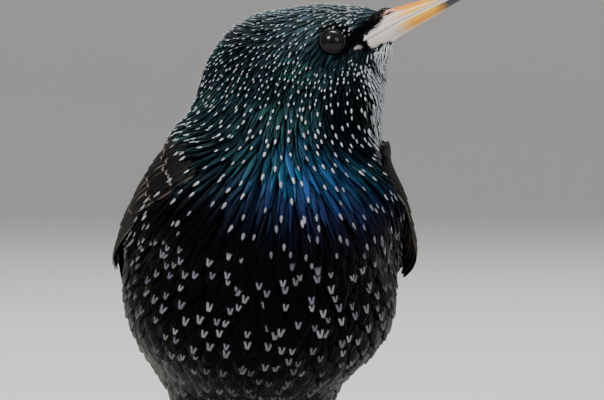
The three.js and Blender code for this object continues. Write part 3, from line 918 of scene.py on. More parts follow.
def wing_feathers(side, rng):
    """Centres, half widths, normals and looks of one wing's feathers, tier on tier."""
    t = stations(WING_RINGS)
    tiers = []
    for name, count, first, last, width, lift, edge, pointed in WING_TIERS:
        if side > 0 and name in LEFT_HIDDEN:
            continue
        shape = (count, WING_RINGS, 3)
        share = np.linspace(0, 1, count)[:, None]
        root, tip = (
            np.array(first[end]) * (1 - share) + np.array(last[end]) * share for end in (0, 1)
        )
        tip = tip + rng.normal(0, 0.009, tip.shape)
        length = root[:, :1] + (tip[:, :1] - root[:, :1]) * t
        across = root[:, 1:] + (tip[:, 1:] - root[:, 1:]) * t
        height = WING_LIFT * np.broadcast_to(lift[0] + (lift[1] - lift[0]) * t, shape[:2])
        centres, normals = on_wing(side, length.ravel(), across.ravel(), height.ravel())
        widths = feather_widths(np.full(count, width), np.full(count, pointed), WING_RINGS)
        brown = np.array(linear(WING_BROWN)) * rng.uniform(0.7, 1.3, (count, 1))
        marks = rows(count, edge, 0.0, rng.random(count), width / WIDTH_UNIT)
        worn = np.array(linear(WORN_EDGE)) * rng.uniform(0.8, 1.2, (count, 1))
        uv = np.stack([length[:, 0], across[:, 0]], axis=1) * 0.9 + 0.05
        centres, normals = centres.reshape(shape), normals.reshape(shape)
        tiers.append((centres, widths, normals, brown, marks, worn, uv))
    return [np.concatenate(group) for group in zip(*tiers)]


# Properties that a user would change


class STARLING_PG_sizes(bpy.types.PropertyGroup):
    """Sizes of the coat, the eyes and the stage."""

    seed: IntProperty(name="Seed", description="Draw for every small difference", default=SEED)
    coat_lift: FloatProperty(
        name="Coat lift", description="How far feather tips stand off the body",
        default=0.00015, unit="LENGTH", subtype="DISTANCE",
    )
    floor_radius: FloatProperty(
        name="Floor radius", description="Radius of the floor's flat part",
        default=2.2, unit="LENGTH", subtype="DISTANCE",
    )


class STARLING_PG_colours(bpy.types.PropertyGroup):
    """Colours of the bare parts and the floor."""

    floor: FloatVectorProperty(
        name="Floor", description="Colour of the floor", subtype="COLOR",
        default=linear(FLOOR), min=0, max=1,
    )
    leg: FloatVectorProperty(
        name="Leg", description="Colour of the scaled legs", subtype="COLOR",
        default=linear(LEG_BROWN), min=0, max=1,
    )


# Operators, one for each piece or group of like pieces


class STARLING_OT_stage(bpy.types.Operator):
    """Set up the floor, the studio light and the camera"""

    bl_idname = "starling.stage"
    bl_label = "Stage"

    def execute(self, context):
        set_camera(context.scene)
        set_lights(context.scene)
        set_floor(context.scene)
        return {"FINISHED"}


class STARLING_OT_skin(bpy.types.Operator):
    """Make one skin under the whole coat"""

    bl_idname = "starling.skin"
    bl_label = "Skin"

    def execute(self, context):
        rng = np.random.default_rng(context.scene.starling_sizes.seed)
        skin, points = flesh(lambda p: -coat_depth(p))
        give(skin, keratin_down())
        add_colours(skin, "Ground", coat_colour(points, rng))
        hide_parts("torso", "neck", "head", "shin_left", "shin_right")
        SITES["all"] = feather_sites(skin, rng)
        return {"FINISHED"}


class STARLING_OT_coat(bpy.types.Operator):
    """Lay the small feathers over the skin, tract by tract"""

    bl_idname = "starling.coat"
    bl_label = "Coat"

    def execute(self, context):
        sizes = context.scene.starling_sizes
        lay_coat(np.random.default_rng(sizes.seed + 1), sizes.coat_lift / MM)
        return {"FINISHED"}


class STARLING_OT_wings(bpy.types.Operator):
    """Fold both wings, feather by feather"""

    bl_idname = "starling.wings"
    bl_label = "Wings"

    def execute(self, context):
        rng = np.random.default_rng(context.scene.starling_sizes.seed + 2)
        material = flight_feather("flight feather keratin")
        for name, side in (("left", 1), ("right", -1)):
            centres, widths, normals, ground, marks, pale, uv = wing_feathers(side, rng)
            looks = {"Ground": ground, "Marks": marks, "Pale": pale}
            twist = np.full(len(centres), -0.05 * side)
            piece = vanes(
                f"wing_{name}_feathers", centres, widths, WING_VANE, normals, looks, uv,
                twist=twist,
            )
            give(piece, material)
            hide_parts(f"wing_{name}")
        return {"FINISHED"}


class STARLING_OT_tail(bpy.types.Operator):
    """Close the tail, feather by feather"""

    bl_idname = "starling.tail"
    bl_label = "Tail"

    def execute(self, context):
        rng = np.random.default_rng(context.scene.starling_sizes.seed + 3)
        make_tail(rng)
        return {"FINISHED"}


class STARLING_OT_eyes(bpy.types.Operator):
    """Set the wet eyes in their lids"""

    bl_idname = "starling.eyes"
    bl_label = "Eyes"

    def execute(self, context):
        make_eyes()
        return {"FINISHED"}


class STARLING_OT_bill(bpy.types.Operator):
    """Shape and colour both halves of the bill"""

    bl_idname = "starling.bill"
    bl_label = "Bill"

    def execute(self, context):
        make_bill()
        return {"FINISHED"}


class STARLING_OT_legs(bpy.types.Operator):
    """Dress the legs, feet and claws"""

    bl_idname = "starling.legs"
    bl_label = "Legs"

    def execute(self, context):
        make_legs(tuple(context.scene.starling_colours.leg))
        return {"FINISHED"}


class STARLING_PT_panel(bpy.types.Panel):
    """Sizes, colours and a button for each piece, in the sidebar"""

    bl_label = "Starling"
    bl_idname = "STARLING_PT_panel"
    bl_space_type = "VIEW_3D"
    bl_region_type = "UI"
    bl_category = "Starling"

    def draw(self, context):
        for group in (context.scene.starling_sizes, context.scene.starling_colours):
            for name in group.__annotations__:
                self.layout.prop(group, name)
        for operator in OPERATORS:
            self.layout.operator(operator.bl_idname)


# Stage

PHOTO_WIDTH = 604
SENSOR_WIDTH = 36
CAMERA_AZIMUTH, CAMERA_ELEVATION = -6, 2
CAMERA_DISTANCE = 1000.0
CAMERA_REACH = 20
PIXELS_PER_MM = 3.85
AIM = np.array([0.0, 7.0, 88.0])
AIM_RIGHT = 10.9
# Each light's azimuth, elevation, distance, width, power and colour
LIGHTS = {
    "key": (-48, 48, 1.3, 0.5, 22, (1.0, 0.98, 0.95)),
    "fill": (40, 30, 1.6, 0.9, 9, (0.95, 0.98, 1.0)),
    "back": (165, 55, 1.5, 0.6, 16, (1.0, 1.0, 1.0)),
}
STUDIO_GLOW = 0.45
FLOOR_BEND = 0.9
BEND_STEPS = 12
FLOOR_AROUND = 96


def away_from_bird(azimuth, elevation):
    """The way from the bird to something that stands at these degrees round and above it."""
    a, e = math.radians(azimuth), math.radians(elevation)
    return np.array([math.sin(a) * math.cos(e), -math.cos(a) * math.cos(e), math.sin(e)])


def put_looking(scene, name, data, location, back):
    """Puts a camera or a light at a place, looking against the way back to it."""
    thing = bpy.data.objects.new(name, data)
    scene.collection.objects.link(thing)
    thing.location = location
    thing.rotation_euler = (-Vector(back)).to_track_quat("-Z", "Y").to_euler()
    return thing


def set_camera(scene):
    """The camera at the photograph's angle, framing what it shows."""
    back = away_from_bird(CAMERA_AZIMUTH, CAMERA_ELEVATION)
    turn = math.radians(CAMERA_AZIMUTH)
    target = AIM + AIM_RIGHT * np.array([math.cos(turn), math.sin(turn), 0])
    data = bpy.data.cameras.new("camera")
    data.sensor_width = SENSOR_WIDTH
    data.lens = SENSOR_WIDTH * CAMERA_DISTANCE * PIXELS_PER_MM / PHOTO_WIDTH
    data.clip_end = CAMERA_REACH
    place = to_frame(target + CAMERA_DISTANCE * back)
    scene.camera = put_looking(scene, "camera", data, place, back)


def set_lights(scene):
    """Soft white studio light from three round lamps and the room."""
    world = bpy.data.worlds.new("studio")
    scene.world = world
    world.use_nodes = True
    room = world.node_tree.nodes["Background"].inputs
    room[0].default_value = (*linear(STUDIO_WHITE), 1)
    room[1].default_value = STUDIO_GLOW
    for name, (azimuth, elevation, distance, size, watts, colour) in LIGHTS.items():
        data = bpy.data.lights.new(name, "AREA")
        data.shape = "DISK"
        data.size = size
        data.energy = watts
        data.color = colour
        back = Vector(away_from_bird(azimuth, elevation))
        put_looking(scene, name, data, Vector(to_frame(AIM)) + back * distance, back)


def set_floor(scene):
    """A round floor whose rim bends up into the backdrop."""
    radius = scene.starling_sizes.floor_radius
    profile = [(0.0, 0.0), (radius * 0.5, 0.0), (radius, 0.0)]
    for i in range(1, BEND_STEPS + 1):
        angle = math.pi / 2 * i / BEND_STEPS
        rise = FLOOR_BEND * (1 - math.cos(angle))
        profile.append((radius + FLOOR_BEND * math.sin(angle), rise))
    turns = [2 * math.pi * j / FLOOR_AROUND for j in range(FLOOR_AROUND)]
    points = [(r * math.cos(turn), r * math.sin(turn), z) for r, z in profile for turn in turns]
    points = np.array(points) / MM + OUTLINE_MIDDLE
    floor = mesh_object("floor", points, ring_faces(len(profile), FLOOR_AROUND))
    material, _, shader = new_material("painted studio floor")
    fill(shader, {"Base Color": (*scene.starling_colours.floor, 1), "Roughness": 0.75})
    floor.data.materials.append(material)


# Coat

COAT_RINGS = 7
HEAD_FROM = 110  # feathers whose tips are higher belong to the head


def keratin_down():
    """Dark down and skin that shows between the feathers, matt and colour-flecked as they are."""
    material, tree, shader = new_material("dark down")
    fluff = clouds(tree, 900.0, 4.0)
    fill(shader, {
        "Base Color": shade(colour_layer(tree, "Ground")[0], fluff * 0.8),
        "Roughness": 0.75,
        "Normal": bump(fluff, 0.6, 0.0004),
    })
    return material


def site_measures(points):
    """For each place on the body, how its feathers are spaced, shaped and marked."""
    forward, right, up = in_head(points)
    x, y, height = points.T
    front = ramp(14, -6, y)
    head = ramp(112, 122, height)
    face = head * ramp(-6, 6, forward)
    neck = ramp(98, 110, height)
    hackle = ramp(76, 92, height)
    low = ramp(66, 48, height)
    shin = ramp(38, 33, height)
    brow = ramp(-2, 3, forward) * ramp(2.2, 4.2, up) * ramp(-3, 0, up - 0.4 * forward + 1.5)
    throat = ramp(5.6, 4.0, np.abs(right)) * ramp(-6, 0, forward) * ramp(-3.8, -5.0, up)
    chin = ramp(5.5, 8.5, forward) * ramp(-4.9, -6.0, up)
    throat = np.clip(throat + chin, 0, 1)
    rim = ramp(21.5, 26, x) * ramp(97, 104, height) * ramp(127, 122, height)
    malar = bell(np.abs(right), 6.2, 0.9) * ramp(-6.5, -8, up) * ramp(-3, 2, forward)
    pale_size = 0.75 * np.clip(throat + 0.8 * rim, 0, 1) + 0.25 * malar
    flank = ramp(20, 30, np.abs(x - 1)) * ramp(92, 78, height)
    strength = np.clip(1 - dark_face(forward, up) * head * 1.2, 0, 1) * (1 - 0.5 * flank)
    strength = strength * (1 - 0.45 * ramp(66, 50, height))
    tight = 0.6 * hackle + 0.8 * neck + 0.65 * head + 0.25 * face + 0.3 * low + 0.8 * shin
    short = 5.5 * neck + 3.0 * head + 2.0 * face + 4 * shin
    right_side = 9 * ramp(-4, -24, x)
    return {
        "spacing": 3.15 - tight,
        "length": 11.0 + 2.5 * hackle - short + 2.0 * throat,
        "width": 2.9 - 1.6 * hackle - 0.4 * neck - 0.35 * head - 0.1 * face - 1.2 * shin,
        "pointed": 0.1 + 0.5 * hackle - 0.1 * head,
        "style": (1 - ramp(80, 87, height - right_side)) * front,
        "size": 0.86 - 0.1 * hackle - 0.2 * neck - 0.23 * head + pale_size,
        "strength": strength * (1 - 0.8 * shin),
        "buff": np.clip(0.6 * brow + (1 - front) * 0.9, 0, 1),
        "shaggy": throat * ramp(-14, -8, up),
        "pale_all": np.clip(throat + malar + 0.8 * rim, 0, 1),
    }


def bare(points):
    """Where no feather grows: the eyes and the bill."""
    forward, right, up = in_head(points)
    eye = np.hypot(forward, up) < 0.7 * EYE_RADIUS
    horn = (in_horn(forward, up) > -0.1) & (np.abs(right) > 3.2)
    tip = (forward > 13.2) & (up > -4.6)
    under_bill = (forward > 10.5) & (up < -5) & (up > -8.5)
    return (eye & (np.abs(right) > 3)) | horn | tip | under_bill


LAP_OVER_WING = {1: (4.5, 2.6), -1: (6.5, 3.3)}  # reach and rise by side


def over_wing(points):
    """How far feathers rise where they lap over the front and the lower edge of a wing."""
    edge = []
    for side, (reach, rise) in LAP_OVER_WING.items():
        low = wing_edge(side, np.linspace(0, 0.26, 20))
        high = wing_top(side, np.linspace(0, 0.3, 24))
        share = np.linspace(0, 1, 12)[:, None]
        tree = search_tree(np.concatenate([low, high, low[0] + (high[0] - low[0]) * share]))
        near = np.array([tree.find(point)[2] for point in points])
        edge.append(rise * bell(near, 0, reach))
    return np.maximum(*edge)


def lay_coat(rng, lift):
    """Lays the marked feathers, a plain layer between them, the bristles and the chin."""
    sites = SITES["all"]
    sites = sites[~bare(sites)]
    look = site_measures(sites)
    kept = spread(sites, look["spacing"], rng)
    put_feathers("coat_marked", sites[kept], {k: v[kept] for k, v in look.items()}, rng, lift)
    kept = spread(sites, look["spacing"] * 0.6, rng)
    under = {k: v[kept] for k, v in look.items()}
    under["length"] = under["length"] * 0.9
    under["width"] = under["width"] * 0.55
    under["strength"] = under["strength"] * under["pale_all"]
    put_feathers("coat_plain", sites[kept], under, rng, lift - 0.3)
    lay_bristles(rng)
    lay_chin(rng)


def bill_sizes(forward):
    """The bill's half width, culmen and cutting edge at distances ahead of the eyes."""
    return (np.interp(forward, BILL_SLICES[:, 0], BILL_SLICES[:, k]) for k in (1, 2, 3))


def bill_at(forward, angle, off):
    """Places off the bill's upper surface, at angles from its cutting edge up to the culmen."""
    half, culmen, edge = bill_sizes(forward)
    across = half * np.cos(angle) + off * np.cos(angle)
    up = edge + (culmen - edge) * np.sin(angle) ** 0.85 + off * np.sin(angle)
    return across, up


def put_loose(name, roots, centres, normals, half, pointed, looks, material):
    """Puts the short, loose feathers of one part of the face on as a piece."""
    count, rings = centres.shape[:2]
    widths = feather_widths(half, np.full(count, pointed), rings)
    piece = vanes(name, centres, widths, LOOSE_VANE, normals, looks, unwrap(roots))
    give(piece, material)


def lay_bristles(rng):
    """Short black bristles that point forward from the lores over the root of the bill."""
    sites = SITES["all"]
    forward, _, up = in_head(sites)
    over = over_bill(forward, up)
    near = (forward > 7.0) & (forward < 13.6) & (over > -0.3) & (over < 3.0 - 0.2 * forward + 1.4)
    roots = sites[near]
    roots = settle(roots[spread(roots, np.full(len(roots), 0.5), rng)], -0.5)
    count = len(roots)
    forward, right, up = in_head(roots)
    half, culmen, edge = bill_sizes(forward)
    above = np.clip(up - edge, 0.1, None) / (culmen - edge + 0.6)
    angle = np.arctan2(above, np.abs(right) / (half + 0.3))
    reach = forward + rng.uniform(2.0, 3.6, count) * ramp(6.0, 11.0, forward)
    angle = angle + rng.normal(0, 0.05, count)
    across, rise = bill_at(reach, angle, rng.uniform(0.1, 0.45, count))
    tips = np.array([head_point(*place) for place in zip(reach, np.sign(right) * across, rise)])
    rings = 6
    t = stations(rings)[None, :, None]
    normal = unit(outward(roots))[:, None]
    bow = normal * 0.55 * np.sin(math.pi * t**0.8)
    centres = roots[:, None] * (1 - t) + tips[:, None] * t + bow
    black = np.array(linear(BRISTLE_BLACK)) * rng.uniform(0.5, 1.6, (count, 1))
    looks = {"Ground": black, "Marks": rows(count, 0, 0, 0.5, 0.3), "Pale": black}
    put_loose(
        "coat_head_bristles", roots, centres, np.repeat(normal, rings, axis=1),
        rng.uniform(0.16, 0.3, count), 0.9, looks,
        keratin_feather("bristle keratin", roughness=0.5, metallic=0.2),
    )


def lay_chin(rng):
    """Short, loose white feathers under the root of the bill and down the front of the throat."""
    sites = SITES["all"]
    forward, right, up = in_head(sites)
    along = (forward > 5.5) & (forward < 13)
    chin = along & (up < -5.6) & (up > -11) & (np.abs(right) < 6.5 - 0.3 * forward + 1.5)
    roots = sites[chin]
    roots = roots[spread(roots, np.full(len(roots), 0.42), rng)]
    count = len(roots)
    tip_level = rng.uniform(-0.2, 0.5, count)
    length = rng.uniform(1.8, 3.6, count)
    centres, normals = lay(roots, length, COAT_RINGS, coat_depth(roots), tip_level, 0.22, rng)
    white = np.array(linear(CHIN_WHITE)) * rng.uniform(0.75, 1, (count, 1))
    black = np.array(linear(CHIN_BLACK)) + np.zeros((count, 3))
    looks = {"Ground": black, "Marks": rows(count, 0.95, 0, 0.5, 0.45), "Pale": white}
    put_loose(
        "coat_head_chin", roots, centres, normals, rng.uniform(0.22, 0.4, count), 0.8, looks,
        keratin_feather("chin keratin", roughness=0.5, metallic=0.3),
    )


def put_feathers(name, roots, look, rng, lift):
    """Lays feathers from their roots and puts them on as pieces of head and body."""
    count = len(roots)
    length = look["length"] * rng.uniform(0.85, 1.15, count)
    width = look["width"] * rng.uniform(0.85, 1.15, count)
    tip_level = lift + rng.normal(0, 0.12, count) + look["shaggy"] * rng.uniform(0, 0.8, count)
    from_crown = np.linalg.norm(roots - REAR_CROWN, axis=1)
    tip_level += CROWN_RISE * bell(from_crown, 0, CROWN_REACH)
    sink = coat_depth(roots)
    centres, normals = lay(roots, length, COAT_RINGS, sink, tip_level, 0.07, rng)
    rise = over_wing(centres.reshape(-1, 3)).reshape(centres.shape[:2]) * stations(COAT_RINGS)
    centres = centres + normals * rise[..., None]
    tips = centres[:, -1]
    height = tips[:, 2]
    widths = feather_widths(width, look["pointed"], COAT_RINGS)
    ground = coat_colour(tips, rng)
    size = look["size"] * rng.uniform(0.8, 1.2, count) / MARK_UNIT
    kept = rng.random(count) > 0.22 * (height < 88)
    strength = look["strength"] * rng.uniform(0.6, 1, count) * kept
    marks = rows(count, strength, look["style"], rng.random(count), size)
    white, lilac, buff = (np.array(linear(c)) for c in (MARK_WHITE, MARK_LILAC, MARK_BUFF))
    pale = white + (lilac - white) * (rng.random((count, 1)) * (height[:, None] < 100))
    # Painted shade: the pale marks darker low on the body
    pale = pale * (1 - 0.5 * ramp(100, 72, height))[:, None]
    pale = pale + (buff - pale) * (look["buff"] * rng.uniform(0.5, 1, count))[:, None]
    uv = unwrap(roots)
    material = keratin_feather(name + " keratin", roughness=0.45, metallic=0.5)
    for part, own in (("body", height <= HEAD_FROM), ("head", height > HEAD_FROM)):
        own = np.flatnonzero(own)
        for index, start in enumerate(range(0, len(own), FEATHERS_A_PIECE)):
            pick = own[start:start + FEATHERS_A_PIECE]
            looks = {"Ground": ground[pick], "Marks": marks[pick], "Pale": pale[pick]}
            piece = vanes(
                f"{name}_{part}_{index}", centres[pick], widths[pick], COAT_VANE, normals[pick],
                looks, uv[pick], twist=rng.normal(0, 0.05, len(pick)),
            )
            give(piece, material)


# Tail

TAIL_START = np.array([0.0, 57.0, 43.0]) + 0.3 * unit((0, 0.82, -0.57))
TAIL_LENGTH = 56.0
TAIL_DROP = math.radians(40)
TAIL_RINGS = 12
# Each row of coverts' reach, spacing and height at its tips
TAIL_COVERTS = ((24, 3.0, 2.6), (17, 2.6, 3.4))


def make_tail(rng):
    """Six pairs of tail feathers, one under the other, with coverts over and under their roots."""
    away = np.array([0, math.cos(TAIL_DROP), -math.sin(TAIL_DROP)])
    top = np.array([0, math.sin(TAIL_DROP), math.cos(TAIL_DROP)])
    left = np.array([1.0, 0, 0])
    t = stations(TAIL_RINGS)[:, None]
    centres, widths = [], []

    def add(start, reach, across, high, half):
        line = TAIL_START + away * (start + reach * t) + left * across
        centres.append(line + top * high)
        widths.append(half)

    for side in (-1, 1):
        for pair in range(6):
            root, tip = side * (1 + 0.95 * pair), side * (1.7 + 1.35 * pair)
            length = TAIL_LENGTH - 1.6 + 0.5 * min(pair, 4)
            high = 1.4 - 0.62 * pair + 0.2 * (side > 0)
            add(-2, length + 2, root + (tip - root) * t, high, 4.2)
        for reach, spacing, rise in TAIL_COVERTS:
            for face in (1, -1):
                for column in range(3):
                    high = (3.9 - 0.8 * column) * (1 - t) + rise * t
                    across = side * (1.4 + spacing * column)
                    add(-4, reach, across, high * face - 0.8 * (face < 0), 2.9)
    centres, widths = np.array(centres), np.array(widths)
    count = len(centres)
    normals = np.broadcast_to(top, centres.shape).copy()
    half = feather_widths(widths, np.full(count, 0.1), TAIL_RINGS)
    brown = np.array(linear(TAIL_BROWN)) * rng.uniform(0.75, 1.25, (count, 1))
    looks = {
        "Ground": brown,
        "Marks": rows(count, 0.12, 0.0, rng.random(count), widths / WIDTH_UNIT),
        "Pale": np.tile(linear(WORN_EDGE), (count, 1)),
    }
    uv = np.stack([0.5 + centres[:, 0, 0] / 60, 0.1 + 0.8 * np.arange(count) / count], axis=1)
    piece = vanes("tail_feathers", centres, half, TAIL_VANE, normals, looks, uv, cup=0.06)
    give(piece, flight_feather("tail feather keratin"))
    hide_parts("tail")


# Eyes


EYE_RINGS, EYE_AROUND = 40, 48
LID_RINGS, LID_AROUND = 72, 10
LID_CLEAR = 0.08
LID_THICKNESS = 0.27


def eye_centre(side):
    """The middle of an eyeball, set into the face by its depth."""
    ray = np.array([head_point(0, side * reach, 0) for reach in np.linspace(4, 16, 400)])
    face = ray[np.argmax(plumage(ray) >= 0)]
    return face - side * EYE_DEPTH * RIGHT


def make_eyes():
    """Both eyeballs with their lids."""
    for name, side in (("left", -1), ("right", 1)):
        centre = eye_centre(side)
        points = []
        for i in range(EYE_RINGS):
            tilt = math.pi * (i + 0.02) / (EYE_RINGS - 0.96)
            for j in range(EYE_AROUND):
                turn = 2 * math.pi * j / EYE_AROUND
                out = math.cos(turn) * FORWARD + side * math.sin(turn) * UP
                way = side * math.cos(tilt) * RIGHT + math.sin(tilt) * out
                points.append(centre + EYE_RADIUS * way)
        faces = ring_faces(EYE_RINGS, EYE_AROUND)
        piece = mesh_object(f"eyeball_{name}", np.array(points), faces)
        share = np.repeat(np.linspace(0, 1, EYE_RINGS), EYE_AROUND)
        add_colours(piece, "Ring", np.stack([share, share * 0, share * 0], axis=1))
        give(piece, wet_eye())
        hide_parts(f"eye_{name}")
        make_lids(name, side, centre)


def make_lids(name, side, centre):
    """A thin dark ring of bare skin that hugs the eyeball where it leaves the face."""
    points = []
    for i in range(LID_RINGS):
        turn = 2 * math.pi * i / LID_RINGS
        way = math.cos(turn) * FORWARD + math.sin(turn) * UP
        tilt = np.linspace(0.4, 1.6, 200)[:, None]
        around_eye = np.cos(tilt) * side * RIGHT + np.sin(tilt) * way
        line = centre + (EYE_RADIUS + LID_CLEAR) * around_eye
        face = line[np.argmax(plumage(line) < 0.05)]
        for j in range(LID_AROUND):
            angle = 2 * math.pi * j / LID_AROUND
            tube = LID_THICKNESS + 0.05 * math.sin(3 * angle)
            out = math.cos(angle) * unit(way) + math.sin(angle) * side * RIGHT * 0.9
            points.append(face + tube * out)
    faces = ring_faces(LID_RINGS + 1, LID_AROUND) % (LID_RINGS * LID_AROUND)
    piece = mesh_object(f"lids_{name}", np.array(points), faces)
    give(piece, bare_lid())


def bare_lid():
    """Bare lid skin, black and finely wrinkled, with a dull wet gleam."""
    material, tree, shader = new_material("bare lid skin")
    fill(shader, {
        "Base Color": (*linear(LID), 1),
        "Roughness": 0.6,
        "Specular IOR Level": 0.2,
        "Normal": bump(cells(tree, 2200.0), 0.4, 0.0002),
    })
    return material


def wet_eye():
    """A living eye: dark brown iris round a black pupil behind a clear, wet cornea."""
    material, tree, shader = new_material("wet cornea over brown iris")
    share, _, _ = channels(tree, colour_layer(tree, "Ring")[0])
    colour = mix_colour(step_up(share, 0.15, 0.19), linear(PUPIL), linear(IRIS))
    fill(shader, {
        "Base Color": mix_colour(step_up(share, 0.27, 0.33), colour, linear(EYE_RIM)),
        "Roughness": 0.4,
        "IOR": 1.376,
        "Specular IOR Level": 0.1,
        "Coat Weight": 0.35,
        "Coat Roughness": 0.02,
    })
    return material


# Bill

BILL_TIP = 39.5
# Ahead of the eyes, half width, culmen, cutting edge and lower edge
BILL_SLICES = np.array([
    (3.0, 9.3, -0.6, -3.3, -5.6), (5.3, 8.35, 0.2, -3.25, -5.9), (7.7, 7.25, 0.9, -3.15, -6.5),
    (10.0, 6.0, 1.4, -3.0, -6.4), (12.5, 4.8, 1.6, -2.9, -6.1), (16.5, 3.75, 1.3, -2.8, -5.8),
    (21, 3.05, 0.3, -2.9, -5.6), (26.5, 2.4, -1.0, -3.1, -5.5), (32, 1.8, -2.3, -3.5, -5.3),
    (36.5, 1.2, -3.4, -4.0, -5.0), (BILL_TIP, 0.45, -4.2, -4.45, -4.85),
])
NOSTRIL = (15.5, 0.4)
BILL_GAP = 0.01
BILL_RINGS, BILL_ARC = 110, 40


def by_nostril(ahead, up, long, tall):
    """1 at the nostril, fading away from it."""
    return np.exp(-(((ahead - NOSTRIL[0]) / long) ** 2 + ((up - NOSTRIL[1]) / tall) ** 2))


def bill_ring(slice_sizes, upper):
    """One half's cross-section, from its right cutting edge over to its left."""
    ahead, half, culmen, edge, lower = slice_sizes
    flat = edge + (BILL_GAP if upper else -BILL_GAP)
    angle = np.linspace(0, math.pi, BILL_ARC + 1)
    blunt = 1.0 if upper else 0.7
    wide = half * (1 if upper else 0.95) * np.sign(np.cos(angle)) * np.abs(np.cos(angle)) ** blunt
    rise = (culmen - flat if upper else flat - lower) * np.sin(angle) ** (0.85 if upper else 0.7)
    up = flat + (rise if upper else -rise)
    if upper:
        # The nostril, a slit under a soft lid of skin, in a shallow dip
        dip = by_nostril(ahead, up, 1.8, 0.45)
        lid = by_nostril(ahead + 0.3, up - 0.75, 2.0, 0.4)
        wide = wide - np.sign(wide) * (0.75 * dip - 0.22 * lid)
    return np.array([head_point(ahead, w, u) for w, u in zip(wide, up)]), up


def make_bill():
    """Both halves of the closed bill."""
    material = bill_horn()
    slices = through(BILL_SLICES, np.linspace(0, 1, BILL_RINGS))
    around = BILL_ARC + 1
    for name, upper in (("upper", True), ("lower", False)):
        points, looks = [], []
        for sizes in slices:
            ring, up = bill_ring(sizes, upper)
            points.append(ring)
            ahead, _, culmen, edge, lower = sizes
            share = (up - edge) / (culmen - edge) if upper else (edge - up) / (edge - lower)
            pit = by_nostril(ahead, up, 1.7, 0.42) * upper
            looks.append(rows(around, ahead / BILL_TIP, share, pit, float(upper)))
        faces = ring_faces(BILL_RINGS, around)
        if upper:
            faces = faces[:, ::-1]
        piece = mesh_object(f"bill_{name}_horn", np.concatenate(points), faces)
        add_colours(piece, "Place", np.concatenate(looks))
        give(piece, material)
        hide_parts(f"bill_{name}")


def bill_horn():
    """Bill horn, thin keratin over bone: waxy, half clear at the edges, darkening to its tip."""
    material, tree, shader = new_material("bill horn")
    place, upper = colour_layer(tree, "Place")
    ahead, rise, pit = channels(tree, place)
    cloud = clouds(tree, 160.0, 3.0)
    ahead = ahead + (cloud - 0.5) * 0.12
    pale = mix_colour(cloud, linear(ROOT_SHADE), linear(ROOT_LIGHT))
    yellow = mix_colour(step_up(rise, 0.1, 0.9), linear(BILL_YELLOW), linear(BILL_AMBER))
    ridge = upper * step_up(rise, 0.62, 1.0)
    near_root = ridge * (1.0 - step_up(ahead, 0.55, 0.7))
    yellow = mix_colour(near_root * 0.7, yellow, linear(CULMEN_RED))
    start = (step_up(ahead, 0.34, 0.52) + ridge * 0.5).clamped()
    colour = mix_colour(start, pale, yellow)
    colour = mix_colour(step_up(ahead, 0.63, 0.78), colour, linear(TIP_SLATE))
    line = (1.0 - step_up(rise, 0.08, 0.3)) * (1.0 - step_up(ahead, 0.82, 1.0))
    colour = mix_colour(line * 0.85, colour, linear(CUTTING_EDGE))
    fill(shader, {
        # Painted shade: the nostril's slit darkened in the colour
        "Base Color": mix_colour(step_up(pit, 0.35, 0.7), colour, linear(NOSTRIL_SHADE)),
        "Roughness": 0.32,
        "IOR": KERATIN_IOR,
        "Subsurface Weight": 0.05,
        "Subsurface Radius": (0.0012, 0.0007, 0.0004),
        "Subsurface Scale": 1.0,
    })
    return material


# Legs

# The middle of the left ankle, and the radii of the swelling there
ANKLE = (12.0, 3.75, 5.45)
ANKLE_RADII = (1.6, 2.0, 2.0)
BALL_RINGS, BALL_AROUND = 12, 20
# Each toe's turn from straight ahead, length to its claw, and the half width of the claw's root
TOES = [(2, 19.5, 0.9), (-26, 13.5, 0.81), (27, 14.5, 0.81), (182, 11.0, 1.0)]
TOE_ROOT_BACK = 3.0


def ball(name, centre, radii):
    """A closed ball at a place in the bird's frame."""
    tilt = np.linspace(0.05, math.pi - 0.05, BALL_RINGS)
    turn = np.arange(BALL_AROUND) * math.pi / (BALL_AROUND / 2)
    tilt, turn = np.meshgrid(tilt, turn, indexing="ij")
    ways = [np.sin(tilt) * np.cos(turn), np.sin(tilt) * np.sin(turn), np.cos(tilt)]
    points = centre + np.stack(ways, axis=-1).reshape(-1, 3) * radii
    return mesh_object(name, points, ring_faces(BALL_RINGS, BALL_AROUND))


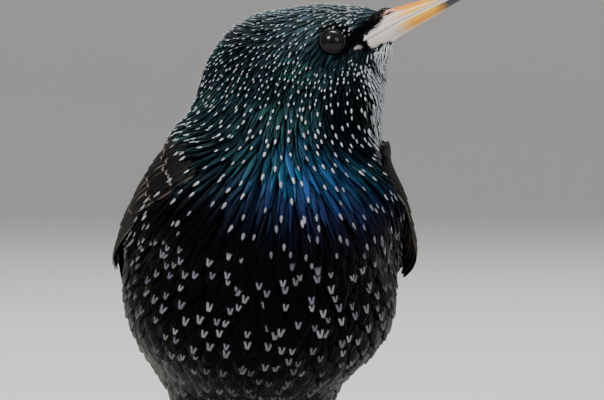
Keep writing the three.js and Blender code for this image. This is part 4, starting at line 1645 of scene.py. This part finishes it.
def leg_scales(colour):
    """Leg skin: hard, dry scutes of keratin with dull, darker folds between them."""
    material, tree, shader = new_material("scaled leg skin")
    plates = step_up(cells(tree, 1100.0, "DISTANCE_TO_EDGE"), 0.0, 0.16)
    tone = mix_colour(plates, tuple(0.45 * c for c in colour), colour)
    fill(shader, {
        "Base Color": mix_colour(clouds(tree, 260.0, 4.0) * 0.5, tone, linear(LEG_CLOUD)),
        "Roughness": 0.5,
        "IOR": KERATIN_IOR,
        "Specular IOR Level": 0.3,
        "Normal": bump(plates, 0.5, 0.00015),
    })
    return material


def make_legs(colour):
    """Each leg and foot as one skin over its joints, and the horn of the claws."""
    skin = leg_scales(colour)
    claw, _, shader = new_material("claw horn")
    fill(shader, {"Base Color": (*linear(CLAW), 1), "Roughness": 0.3})
    for name, side in (("left", 1), ("right", -1)):
        joints = [ball("ankle", np.array(ANKLE) * (side, 1, 1), ANKLE_RADII)]
        for turn, length, root in TOES:
            angle = math.radians(turn) * side
            reach = length + 0.05
            across = side * ANKLE[0] + math.sin(angle) * reach
            end = np.array((across, TOE_ROOT_BACK - math.cos(angle) * reach, root + 0.22))
            joints.append(ball("toe_end", end, (root + 0.12, root + 0.12, root + 0.1)))
        piece = fused(f"leg_{name}", (f"tarsus_{name}", f"foot_{name}"), LEG_VOXEL, joints)
        give(piece, skin)
        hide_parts(f"tarsus_{name}", f"foot_{name}")
    for name, node in frame["nodes"].items():
        if name.startswith("claw"):
            node.data.materials.clear()
            node.data.materials.append(claw)


OPERATORS = (
    STARLING_OT_stage, STARLING_OT_skin, STARLING_OT_coat, STARLING_OT_wings,
    STARLING_OT_tail, STARLING_OT_eyes, STARLING_OT_bill, STARLING_OT_legs,
)
CLASSES = (STARLING_PG_sizes, STARLING_PG_colours, *OPERATORS, STARLING_PT_panel)


def register():
    """Adds the properties, the operators and the panel."""
    for cls in CLASSES:
        bpy.utils.register_class(cls)
    bpy.types.Scene.starling_sizes = PointerProperty(type=STARLING_PG_sizes)
    bpy.types.Scene.starling_colours = PointerProperty(type=STARLING_PG_colours)


def unregister():
    """Takes them away again."""
    del bpy.types.Scene.starling_colours
    del bpy.types.Scene.starling_sizes
    for cls in reversed(CLASSES):
        bpy.utils.unregister_class(cls)


def main():
    """Makes every piece through its operator."""
    register()
    for operator in OPERATORS:
        group, name = operator.bl_idname.split(".")
        getattr(getattr(bpy.ops, group), name)()


if __name__ == "__main__":
    main()
